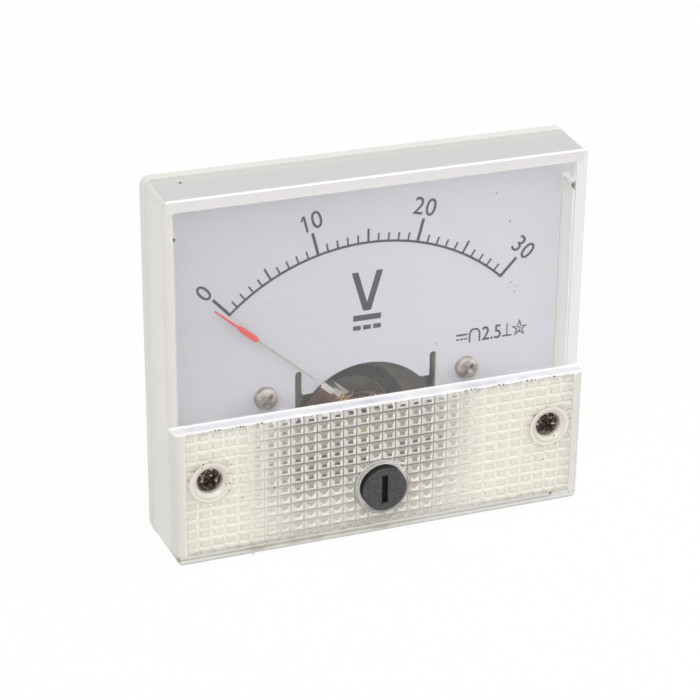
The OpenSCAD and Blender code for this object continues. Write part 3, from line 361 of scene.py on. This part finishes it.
def clearPlastic(name, values, places):
    # Clear moulding over the dial that turns milky in its walls and its lower band, partly haze of the
    # old plastic and partly painted light for light reflected inside it
    material, tree, shader = newMaterial(name)
    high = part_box("front_cover")[1]
    parts = addNode(tree, "ShaderNodeSeparateXYZ")
    tree.links.new(objectPlace(tree), parts.inputs["Vector"])
    side, y, z = parts.outputs["X"], parts.outputs["Y"], parts.outputs["Z"]
    x = absolute(tree, side)

    def both(first, second):
        return joined(tree, "MULTIPLY", first, second)

    def butNot(mask):
        return joined(tree, "SUBTRACT", 1.0, mask)

    leftward = rising(tree, side, places["leftHalf"])
    front = rising(tree, y, places["front"])
    below = rising(tree, z, places["fromShelf"]["below"], shelfZ)
    patchy = remap(tree, noise(tree, values["patches"]), 0.3, 0.7)

    # Side walls and top wall
    wall = rising(tree, side, places["fromLeft"]["wall"], -high.x)
    border = rising(tree, side, places["fromLeft"]["border"], -high.x)
    upper = both(front, rising(tree, z, places["fromShelf"]["above"], shelfZ))
    wall = joined(tree, "MINIMUM", wall, joined(tree, "MAXIMUM", border, butNot(upper)))
    wall = joined(tree, "MAXIMUM", wall,
                  rising(tree, side, places["fromRight"]["border"], high.x))
    # Darker tones on the left half, lighter on the right: painted shade and painted light
    look = layered(tree, values["litRightWall"], leftward, values["shadedLeftWall"])
    frontLook = layered(tree, values["litRightFront"], leftward, values["shadedLeftFront"])
    frontLook = layered(tree, frontLook, below, values["bandFront"])
    look = layered(tree, look, front, frontLook)
    look = layered(tree, values["window"], wall, look)
    topLook = layered(tree, values["topRear"], rising(tree, y, places["seat"]), values["top"])
    topLook = layered(tree, topLook, front, values["topFront"])
    topWall = rising(tree, z, places["fromTop"]["wall"], high.z)
    sideEnd = rising(tree, x, places["fromRight"]["end"], high.x)
    look = layered(tree, look, both(topWall, sideEnd), topLook)
    # Painted highlight along the top front edge
    edge = both(rising(tree, z, places["fromTop"]["edge"], high.z), front)
    look = layered(tree, look, both(edge, sideEnd), values["edgeHighlight"])

    # Lower band with the waffle pattern on its inner side
    look = layered(tree, look, both(both(below, front), butNot(wall)),
                   (values["bandMilk"], values["bandFront"][1]))
    # The waffle's tone is painted light and shade
    tone, pockets = waffleShading(tree, side, z, waffle)
    behind = both(below, rising(tree, y, places["behindBand"]))
    notEnds = rising(tree, x, places["pocketEnd"])
    look = layered(tree, look, both(both(behind, notEnds), rising(tree, y, places["pockets"])),
                   (pockets, tone))

    # Lines along the band's foot
    olive = both(inside(tree, side, places["oliveAcross"]), patchy)
    look = layered(tree, look, both(front, rising(tree, z, places["foot"])), values["footHigh"])
    line = both(front, inside(tree, z, places["footLine"]))
    look = layered(tree, look, both(line, rising(tree, side, places["footEnd"])),
                   values["footLine"])
    thick = both(front, inside(tree, z, places["footOlive"]))
    look = layered(tree, look, both(thick, olive), values["footOlive"])
    bright = both(front, inside(tree, z, places["footBright"]))
    look = layered(tree, look, both(bright, butNot(olive)), values["footBright"])
    look = layered(tree, look, both(front, rising(tree, z, places["footLow"])),
                   values["footLow"])

    # Shelf over the band, painted white as a highlight with painted lilac shade in its middle
    shelf = both(inside(tree, z, places["fromShelf"]["shelf"], shelfZ), front)
    shelfMiddleShade = both(inside(tree, y, places["shelfMiddleShade"]), patchy)
    look = layered(tree, look, shelf,
                   layered(tree, values["shelfHighlight"], shelfMiddleShade, values["shelfMiddleShade"]))

    # Screw wells, recess round the adjuster and a chip in the lower left corner; the waffle's painted
    # light and shade runs on round the wells and the adjuster, which also gets a painted highlight
    # ring and, on its left, a painted shade line
    screws = centreOf("cover_screws")
    well = distanceTo(tree, screws.x + places["wellSpan"] / 2 * mm, screws.z)
    rim = (values["rimMilk"], tone)
    around = both(both(rising(tree, well, places["wellRim"]), behind), notEnds)
    look = layered(tree, look, around, rim)
    look = layered(tree, look, rising(tree, well, places["boss"]), values["bosses"])
    look = layered(tree, look, both(inside(tree, well, places["stain"]), patchy),
                   values["stain"])
    knob = distanceTo(tree, 0.0, centreOf("zero_adjuster").z)
    look = layered(tree, look, both(rising(tree, knob, places["knobRim"]), behind), rim)
    look = layered(tree, look, both(rising(tree, knob, places["recess"]), below),
                   values["recess"])
    # Painted shade line round the adjuster's recess, on the left half only
    look = layered(tree, look, both(inside(tree, knob, places["knobShadeLine"]),
                                    both(below, leftward)), values["knobShadeLine"])
    # Painted highlight ring round the adjuster
    look = layered(tree, look, both(inside(tree, knob, places["knobHighlightRing"]), below),
                   values["knobHighlightRing"])
    chip = both(inside(tree, side, places["chipAcross"]), inside(tree, z, places["chipUp"]))
    milk, tone = layered(tree, look, both(chip, front), values["chip"])

    colour = mixColours(tree, joined(tree, "MULTIPLY", milk, values["toneGain"]),
                        (1.0, 1.0, 1.0), tone)
    tree.links.new(colour, shader.inputs["Base Color"])
    tree.links.new(butNot(milk), shader.inputs["Transmission Weight"])
    shader.inputs["IOR"].default_value = values["ior"]
    tree.links.new(remap(tree, milk, 0.0, 1.0, values["roughness"], values["milkRoughness"]),
                   shader.inputs["Roughness"])
    addBump(tree, shader, noise(tree, values["ripples"], 2.0), values["rippleStrength"],
            values["rippleHeight"])

    # Shadows pass through the clear parts
    path = addNode(tree, "ShaderNodeLightPath")
    through = addNode(tree, "ShaderNodeBsdfTransparent", {"Color": (*values["through"], 1.0)})
    mix = addNode(tree, "ShaderNodeMixShader")
    tree.links.new(path.outputs["Is Shadow Ray"], mix.inputs[0])
    tree.links.new(shader.outputs["BSDF"], mix.inputs[1])
    tree.links.new(through.outputs["BSDF"], mix.inputs[2])
    tree.links.new(mix.outputs["Shader"], tree.nodes["Material Output"].inputs["Surface"])
    return material


def pointerPaint(name):
    # Bare metal near the hub and red paint towards the tip
    values = {"root": (0.80, 0.79, 0.77), "thin": (0.50, 0.44, 0.37), "thinStart": 13.5 * mm,
              "red": (0.68, 0.05, 0.04), "redStart": 25.0 * mm, "bareMetal": 0.9, "roughness": 0.4}
    material, tree, shader = newMaterial(name)
    mapping = addNode(tree, "ShaderNodeMapping", {"Location": tuple(-pivot)})
    tree.links.new(objectPlace(tree), mapping.inputs["Vector"])
    flat = addNode(tree, "ShaderNodeVectorMath", {1: (1.0, 0.0, 1.0)}, operation="MULTIPLY")
    tree.links.new(mapping.outputs["Vector"], flat.inputs[0])
    length = addNode(tree, "ShaderNodeVectorMath", operation="LENGTH")
    tree.links.new(flat.outputs["Vector"], length.inputs[0])
    painted = rising(tree, length.outputs["Value"], (-0.1, 0.1), values["redStart"])
    bare = mixColours(tree, rising(tree, length.outputs["Value"], (-1, 1), values["thinStart"]),
                      values["root"], values["thin"])
    colourOut = mixColours(tree, painted, bare, values["red"])
    tree.links.new(colourOut, shader.inputs["Base Color"])
    tree.links.new(remap(tree, painted, 0.0, 1.0, values["bareMetal"], 0.0),
                   shader.inputs["Metallic"])
    shader.inputs["Roughness"].default_value = values["roughness"]
    addBump(tree, shader, noise(tree, 1500), 0.1, 0.01 * mm)
    return material


def castIron(name):
    # Mottled dark iron whose right ear is painted khaki, a painted shade standing for the cream base
    # in shadow behind the slot
    values = {"colour": (0.115, 0.104, 0.086), "shade": (0.20, 0.182, 0.155),
              "ear": (0.58, 0.52, 0.35), "earStart": 11.7 * mm, "earFoot": -8.6 * mm,
              "mottle": 240, "grain": 1500, "roughness": (0.42, 0.55)}
    material, tree, shader = newMaterial(name)
    parts = addNode(tree, "ShaderNodeSeparateXYZ")
    tree.links.new(objectPlace(tree), parts.inputs["Vector"])
    iron = mixColours(tree, remap(tree, noise(tree, values["mottle"], 4.0), 0.35, 0.65),
                      values["colour"], values["shade"])
    # Painted shade: khaki on the right ear
    ear = joined(tree, "MULTIPLY",
                 rising(tree, parts.outputs["X"], (-0.2, 0.0), values["earStart"]),
                 rising(tree, parts.outputs["Z"], (-1.2, 1.2), values["earFoot"]))
    tree.links.new(mixColours(tree, ear, iron, values["ear"]), shader.inputs["Base Color"])
    grain = noise(tree, values["grain"])
    tree.links.new(remap(tree, grain, 0.3, 0.7, *values["roughness"]),
                   shader.inputs["Roughness"])
    addBump(tree, shader, grain, 0.15, 0.02 * mm)
    return material


def blackHead(name):
    # Grained black plastic, darker below its front face
    values = {"colour": (0.034, 0.033, 0.034), "grain": (0.075, 0.073, 0.074),
              "deep": (0.004, 0.004, 0.004), "deepFrom": (0.15, 0.3), "scale": 2600,
              "roughness": (0.42, 0.8)}
    material, tree, shader = newMaterial(name)
    parts = addNode(tree, "ShaderNodeSeparateXYZ")
    tree.links.new(objectPlace(tree), parts.inputs["Vector"])
    grained = mixColours(tree, remap(tree, noise(tree, values["scale"], 4.0, 0.7), 0.42, 0.68),
                         values["colour"], values["grain"])
    deep = rising(tree, parts.outputs["Y"], values["deepFrom"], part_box("zero_adjuster")[0].y)
    tree.links.new(mixColours(tree, deep, grained, values["deep"]), shader.inputs["Base Color"])
    tree.links.new(remap(tree, deep, 0.0, 1.0, *values["roughness"]), shader.inputs["Roughness"])
    addBump(tree, shader, noise(tree, values["scale"], 4.0), 0.3, 0.03 * mm)
    return material


def dialPaint(name):
    # Pale print, cooler at the top and warmer at the foot, darker towards the left from a painted
    # shadow of the cover's left wall, with a few fine specks
    values = {"top": (0.56, 0.58, 0.61), "foot": (0.585, 0.57, 0.63),
              "shade": (0.50, 0.50, 0.545), "speck": (0.30, 0.29, 0.31),
              "cutEdge": (0.93, 0.93, 0.93), "shadeFrom": (10, -30), "speckScale": 420,
              "speckAmount": (0.86, 0.9), "roughness": 0.55}
    material, tree, shader = newMaterial(name)
    low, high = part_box("dial_plate")
    parts = addNode(tree, "ShaderNodeSeparateXYZ")
    tree.links.new(objectPlace(tree), parts.inputs["Vector"])
    ground = mixColours(tree, remap(tree, parts.outputs["Z"], low.z, high.z), values["foot"],
                        values["top"])
    # Painted shadow of the cover's left wall, darkening the dial towards the left
    ground = mixColours(tree, rising(tree, parts.outputs["X"], values["shadeFrom"]), ground,
                        values["shade"])
    specks = remap(tree, noise(tree, values["speckScale"], 1.0, 0.3), *values["speckAmount"])
    facing = addNode(tree, "ShaderNodeSeparateXYZ")
    tree.links.new(addNode(tree, "ShaderNodeNewGeometry").outputs["Normal"],
                   facing.inputs["Vector"])
    cut = remap(tree, absolute(tree, facing.outputs["Y"]), 0.7, 0.5)
    colourOut = mixColours(tree, specks, ground, values["speck"])
    colourOut = mixColours(tree, cut, colourOut, values["cutEdge"])
    tree.links.new(colourOut, shader.inputs["Base Color"])
    shader.inputs["Roughness"].default_value = values["roughness"]
    addBump(tree, shader, noise(tree, 700), 0.08, 0.02 * mm)
    return material


def makeMaterials():
    made = {
        "clearCover": clearPlastic("clearCover", clearCover, coverPlaces),
        "creamPlastic": plastic("creamPlastic", (0.81, 0.797, 0.755), (0.76, 0.748, 0.70), 0.5),
        "dialPaint": dialPaint("dialPaint"),
        "scaleInk": plastic("scaleInk", (0.02, 0.02, 0.024), (0.035, 0.035, 0.038), 0.7),
        "brightMetal": metal("brightMetal", (0.82, 0.81, 0.79), (0.62, 0.60, 0.57), 0.25),
        "screwSteel": metal("screwSteel", (0.62, 0.58, 0.53), (0.34, 0.29, 0.25), 0.4, 1500, 900),
        "duller": metal("duller", (0.70, 0.70, 0.72), (0.52, 0.52, 0.54), 0.35),
        "brass": metal("brass", (0.80, 0.60, 0.30), (0.68, 0.49, 0.24), 0.3),
        "copperWire": metal("copperWire", (0.40, 0.20, 0.14), (0.24, 0.12, 0.085), 0.42, 2500),
        "bronze": metal("bronze", (0.85, 0.55, 0.36), (0.66, 0.38, 0.22), 0.22),
        "darkIron": castIron("darkIron"),
        "rustyHead": rusty("rustyHead", (0.72, 0.66, 0.60), (0.035, 0.015, 0.01), 0.60),
        "dirt": plastic("dirt", (0.10, 0.07, 0.045), (0.045, 0.03, 0.02), 0.7, 2500),
        "coreSteel": metal("coreSteel", (0.22, 0.225, 0.205), (0.13, 0.135, 0.12), 0.45),
        "blackPlastic": blackHead("blackPlastic"),
        "pointerPaint": pointerPaint("pointerPaint"),
        "resistorCoat": plastic("resistorCoat", (0.35, 0.52, 0.58), (0.30, 0.46, 0.52), 0.35),
        "redSleeve": plastic("redSleeve", (0.50, 0.05, 0.04), (0.42, 0.04, 0.03), 0.4),
    }
    print("materials made:", len(made))
    return made


def dressNodes(made):
    finishes = {
        "clearCover": ["front_cover"],
        "creamPlastic": ["base"],
        "dialPaint": ["dial_plate"],
        "scaleInk": ["dial_scale"],
        "screwSteel": ["dial_screws"],
        "brightMetal": ["bridge_screws", "movement_screws", "coil_former",
                        "pointer_hub", "balance_weights", "jewel_nuts", "solder_lugs"],
        "duller": ["front_bridge", "rear_bridge", "front_pivot", "rear_pivot",
                   "terminal_washers", "mounting_washers"],
        "coreSteel": ["core_magnet"],
        "brass": ["dial_posts", "zero_lever", "core_holder", "bridge_pillars", "jewel_screws",
                  "terminal_studs", "terminal_nuts", "mounting_studs", "mounting_nuts"],
        "copperWire": ["coil_winding"],
        "bronze": ["hairspring_front", "hairspring_rear"],
        "darkIron": ["yoke"],
        "rustyHead": ["cover_screws"],
        "blackPlastic": ["zero_adjuster"],
        "pointerPaint": ["pointer"],
        "resistorCoat": ["series_resistor"],
        "redSleeve": ["lead_wire"],
    }
    for material, names in finishes.items():
        for name in names:
            nodes[name].data.materials.clear()
            nodes[name].data.materials.append(made[material])
    print("nodes dressed:", sum(len(names) for names in finishes.values()))


def printedText(body, x, z, size, thin, wide):
    # A text that stands on the dial's face, its strokes made thicker by thin
    deselectAll()
    bpy.ops.object.text_add(location=(0, 0, 0))
    text = bpy.context.object
    text.data.body = body
    text.data.align_x = "CENTER"
    text.data.align_y = "CENTER"
    text.data.size = size * mm
    text.data.offset = thin * mm
    text.data.extrude = inkThick / 2
    bpy.ops.object.convert(target="MESH")
    piece = bpy.context.object
    piece.scale = (wide, 1, 1)
    applyPlace(piece)
    piece.rotation_euler = (math.radians(90), 0, 0)
    piece.location = (x * mm, dialFace, z * mm)
    applyPlace(piece)
    return piece


def printedBar(x0, x1, z0, z1):
    # A flat field of ink between two widths and two heights
    deselectAll()
    bpy.ops.mesh.primitive_plane_add(size=1, rotation=(math.radians(90), 0, 0),
                                     location=((x0 + x1) / 2 * mm, dialFace, (z0 + z1) / 2 * mm))
    piece = bpy.context.object
    piece.scale = ((x1 - x0) * mm, (z1 - z0) * mm, 1)
    applyPlace(piece)
    applyModifier(piece, "SOLIDIFY", thickness=inkThick, offset=0)
    return piece


def threeDashes(first, step):
    # Three short bars side by side, from the first one's widths and heights
    x0, x1, z0, z1 = first
    return [printedBar(x0 + i * step, x1 + i * step, z0, z1) for i in range(3)]


def slantedBar(topX, footX, width, z0, z1):
    # A bar whose ends lie level while its middle runs at a slant
    piece = printedBar(topX - width / 2, topX + width / 2, z0, z1)
    activate(piece)
    for vertex in piece.data.vertices:
        vertex.select = vertex.co.z < (z0 + z1) / 2 * mm
    for edge in piece.data.edges:
        edge.select = all(piece.data.vertices[i].select for i in edge.vertices)
    for face in piece.data.polygons:
        face.select = all(piece.data.vertices[i].select for i in face.vertices)
    bpy.ops.object.mode_set(mode="EDIT")
    bpy.ops.transform.translate(value=((footX - topX) * mm, 0, 0))
    bpy.ops.object.mode_set(mode="OBJECT")
    return piece


def turnOnDial(piece, x, z, angle):
    # Moves a piece made round the dial's origin to its place and turns it clockwise
    piece.rotation_euler = (0, math.radians(angle), 0)
    piece.location = (x * mm, 0, z * mm)
    applyPlace(piece)
    return piece


def makeDialPrint(made):
    # Sizes and places in millimetres, angles in degrees from upright
    numbers = {"texts": ["0", "10", "20", "30"], "angles": [-43.2, -14.1, 13.9, 42.6],
               "radius": 35.75, "size": 3.78, "thin": 0.018, "wide": 0.92, "digit": 1.9,
               "stroke": 0.34, "height": 2.58, "flagTop": 0.136, "flagFoot": -0.35,
               "flagDrop": 0.72}
    unit = {"x": -0.08, "top": 11.25, "foot": 5.15, "stroke": 0.98, "topHalf": 1.902,
            "footHalf": 0.12, "bar": (-2.2, 2.1, 3.62, 4.5), "dash": (-2.2, -1.02, 2.15, 2.85),
            "dashStep": 1.56}
    row = {"bar": (14.05, 15.85, -1.25, -0.98), "dash": (14.05, 14.53, -1.95, -1.7),
           "dashStep": 0.66,
           "marks": [{"body": "\u2229", "x": 17.0, "z": -1.5, "size": 3.3, "thin": 0.02, "wide": 0.95},
                     {"body": "2.5", "x": 19.75, "z": -1.5, "size": 3.1, "thin": 0.03, "wide": 0.86},
                     {"body": "\u22a5", "x": 22.2, "z": -1.5, "size": 3.2, "thin": 0.01, "wide": 0.72},
                     {"body": "\u2606", "x": 24.2, "z": -1.5, "size": 2.95, "thin": 0.0, "wide": 0.95},
                     {"body": "2", "x": 24.2, "z": -1.62, "size": 1.3, "thin": 0.01, "wide": 0.9}]}
    pieces = []
    for body, angle in zip(numbers["texts"], numbers["angles"]):
        x = numbers["radius"] * math.sin(math.radians(angle))
        z = pivot.z / mm + numbers["radius"] * math.cos(math.radians(angle))
        for i, digit in enumerate(body):
            shift = (i - (len(body) - 1) / 2) * numbers["digit"]
            if digit == "1":
                half, stroke = numbers["height"] / 2, numbers["stroke"]
                stem = printedBar(shift, shift + stroke, -half, half)
                flag = slantedBar(shift + numbers["flagTop"], shift + numbers["flagFoot"], stroke,
                                  half - numbers["flagDrop"], half)
                piece = joinPieces([stem, flag], "one")
            else:
                piece = printedText(digit, shift, 0, numbers["size"], numbers["thin"],
                                    numbers["wide"])
            pieces.append(turnOnDial(piece, x, z, angle))
    scaleNumbers = joinPieces(pieces, "scaleNumbers")
    finishPiece(scaleNumbers, "case", made["scaleInk"])

    pieces = [slantedBar(unit["x"] + s * unit["topHalf"], unit["x"] + s * unit["footHalf"],
                         unit["stroke"], unit["foot"], unit["top"]) for s in (-1, 1)]
    pieces += [printedBar(*unit["bar"])] + threeDashes(unit["dash"], unit["dashStep"])
    unitMark = joinPieces(pieces, "unitMark")
    finishPiece(unitMark, "case", made["scaleInk"])

    pieces = [printedBar(*row["bar"])] + threeDashes(row["dash"], row["dashStep"])
    pieces += [printedText(**mark) for mark in row["marks"]]
    classMarks = joinPieces(pieces, "classMarks")
    finishPiece(classMarks, "case", made["scaleInk"])
    print("dial print made")


def makeDirt(made):
    # Dark specks, of dirt on the wells, band, dial and top: across, height or depth, and radius in
    # millimetres
    dirt = {
        "roundWell": [(-27.4, -11.4, 0.14), (-27.5, -12.0, 0.10), (-23.6, -13.5, 0.11),
                      (-23.5, -15.1, 0.13), (-23.7, -16.2, 0.10), (-24.1, -15.1, 0.09),
                      (-23.3, -12.1, 0.08), (25.5, -19.9, 0.12), (27.1, -16.2, 0.12),
                      (27.4, -17.5, 0.09)],
        "onBand": [(-16.8, -17.0, 0.13), (-21.6, -17.7, 0.11), (-20.1, -27.3, 0.10),
                   (27.0, -25.9, 0.22), (30.0, -26.3, 0.10)],
        "onDial": [(19.7, 20.6, 0.13), (22.0, 16.0, 0.15), (-14.9, 8.5, 0.10),
                   (10.9, -1.9, 0.10), (22.5, 6.3, 0.12), (23.2, 5.6, 0.09),
                   (22.1, 5.5, 0.08), (23.1, 4.7, 0.11)],
        "onTop": [(-27.3, 4.0, 0.24)], "topDraft": 0.037, "flange": 1.75,
        "rowLeft": (-27.2, -18.8, 17), "rowRight": (11.0, 26.6, 22), "rowDepth": 0.1,
        "rowDrop": 0.16, "rowRadius": 0.10, "uneven": {"step": 0.3, "height": 0.05, "radius": 0.06},
        "dialLift": 0.02, "thick": 0.02, "corners": 9, "ragged": 0.3,
    }
    low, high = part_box("front_cover")
    front, top = low.y / mm, high.z / mm
    dial = dialFace / mm - dirt["dialLift"]
    uneven = dirt["uneven"]
    spots = [(x, front, z, radius, 90) for x, z, radius in dirt["roundWell"] + dirt["onBand"]]
    spots += [(x, dial, z, radius, 90) for x, z, radius in dirt["onDial"]]
    # Two uneven rows of dark specks just under the shelf, a tenth of a millimetre behind the front
    # face
    for first, last, count in (dirt["rowLeft"], dirt["rowRight"]):
        for i in range(count):
            wobble = math.sin(7.3 * i + first)
            x = first + (last - first) * (i + uneven["step"] * wobble) / (count - 1)
            z = shelfZ / mm - dirt["rowDrop"] + uneven["height"] * wobble
            spots.append((x, front + dirt["rowDepth"], z,
                          dirt["rowRadius"] + uneven["radius"] * wobble, 90))
    spots += [(x, -depth, top - dirt["topDraft"] * (depth - dirt["flange"]), radius, 0)
              for x, depth, radius in dirt["onTop"]]
    pieces = []
    for i, (x, y, z, radius, tilt) in enumerate(spots):
        deselectAll()
        bpy.ops.mesh.primitive_circle_add(vertices=dirt["corners"], radius=radius * mm,
                                          fill_type="NGON", location=(x * mm, y * mm, z * mm),
                                          rotation=(math.radians(tilt), 0, 0))
        piece = bpy.context.object
        applyPlace(piece)
        bpy.ops.object.mode_set(mode="EDIT")
        bpy.ops.mesh.select_all(action="SELECT")
        bpy.ops.transform.vertex_random(offset=radius * dirt["ragged"] * mm, seed=i)
        bpy.ops.object.mode_set(mode="OBJECT")
        applyModifier(piece, "SOLIDIFY", thickness=dirt["thick"] * mm, offset=0)
        pieces.append(piece)
    specks = joinPieces(pieces, "dirtSpecks")
    finishPiece(specks, "case", made["dirt"])
    print("dirt made:", len(spots))


studio = {
    "azimuth": -20.876, "elevation": 25.112, "roll": 0.558, "distance": 350.998 * mm,
    "target": Vector((-0.731, 0.0, -3.292)) * mm, "lens": 122.66, "sensor": 36,
    "nearest": 0.01, "worldLight": 0.55, "floorSize": 8, "floorColour": (0.92, 0.92, 0.92),
    "floorRoughness": 0.9, "floorGloss": 0.1, "floorWhite": 0.93,
}


def makeCamera():
    data = bpy.data.cameras.new("camera")
    data.lens = studio["lens"]
    data.sensor_width = studio["sensor"]
    data.clip_start = studio["nearest"]
    camera = bpy.data.objects.new("camera", data)
    bpy.context.scene.collection.objects.link(camera)
    azimuth = math.radians(studio["azimuth"])
    elevation = math.radians(studio["elevation"])
    turn = (Matrix.Rotation(azimuth, 3, "Z") @ Matrix.Rotation(math.pi / 2 - elevation, 3, "X")
            @ Matrix.Rotation(math.radians(studio["roll"]), 3, "Z"))
    back = Vector((math.sin(azimuth) * math.cos(elevation),
                   -math.cos(azimuth) * math.cos(elevation), math.sin(elevation)))
    place = Matrix.Translation(studio["target"] + studio["distance"] * back)
    camera.matrix_world = place @ turn.to_4x4()
    bpy.context.scene.camera = camera
    print("camera made")


def seenWhite(tree):
    # 1 for the rays that should find a white background
    path = addNode(tree, "ShaderNodeLightPath")
    seen = joined(tree, "MAXIMUM", path.outputs["Is Camera Ray"], path.outputs["Is Glossy Ray"])
    return joined(tree, "MAXIMUM", seen, path.outputs["Is Transmission Ray"])


def makeWorld():
    world = bpy.data.worlds.new("studioWorld")
    world.use_nodes = True
    bpy.context.scene.world = world
    tree = world.node_tree
    background = tree.nodes["Background"]
    background.inputs["Color"].default_value = (1, 1, 1, 1)
    strength = remap(tree, seenWhite(tree), 0, 1, studio["worldLight"], 1.0)
    tree.links.new(strength, background.inputs["Strength"])
    print("world made")


def makeFloor():
    deselectAll()
    bpy.ops.mesh.primitive_plane_add(size=studio["floorSize"], location=(0, 0, cadBox[0].z))
    floor = bpy.context.object
    floor.name = "floor"
    material, tree, shader = newMaterial("paleFloor")
    shader.inputs["Base Color"].default_value = (*studio["floorColour"], 1)
    shader.inputs["Roughness"].default_value = studio["floorRoughness"]
    shader.inputs["Specular IOR Level"].default_value = studio["floorGloss"]
    white = addNode(tree, "ShaderNodeEmission", {"Strength": 1.0})
    mix = addNode(tree, "ShaderNodeMixShader")
    tree.links.new(remap(tree, seenWhite(tree), 0, 1, 0.0, studio["floorWhite"]), mix.inputs[0])
    tree.links.new(shader.outputs["BSDF"], mix.inputs[1])
    tree.links.new(white.outputs["Emission"], mix.inputs[2])
    tree.links.new(mix.outputs["Shader"], tree.nodes["Material Output"].inputs["Surface"])
    floor.data.materials.append(material)
    print("floor made")


def makeLamps():
    lamps = [
        {"name": "keyLamp", "place": (-0.45, -0.75, 0.75), "size": 0.6, "power": 4.5},
        {"name": "topLamp", "place": (0.25, -0.15, 0.95), "size": 0.6, "power": 2.5},
        {"name": "fillLamp", "place": (0.8, -0.7, 0.3), "size": 0.7, "power": 2.0},
    ]
    for lamp in lamps:
        data = bpy.data.lights.new(lamp["name"], "AREA")
        data.energy = lamp["power"]
        data.size = lamp["size"]
        light = bpy.data.objects.new(lamp["name"], data)
        bpy.context.scene.collection.objects.link(light)
        light.location = lamp["place"]
        aim = -Vector(lamp["place"])
        light.rotation_euler = aim.to_track_quat("-Z", "Y").to_euler()
    print("lamps made:", len(lamps))


cycles = bpy.context.scene.cycles
cycles.max_bounces = 24
cycles.transmission_bounces = 24
cycles.glossy_bounces = 12
cycles.transparent_max_bounces = 24
makeCamera()
makeWorld()
makeFloor()
makeLamps()
bpy.context.scene.view_settings.view_transform = "Standard"
made = makeMaterials()
dressNodes(made)
makeDialPrint(made)
makeDirt(made)
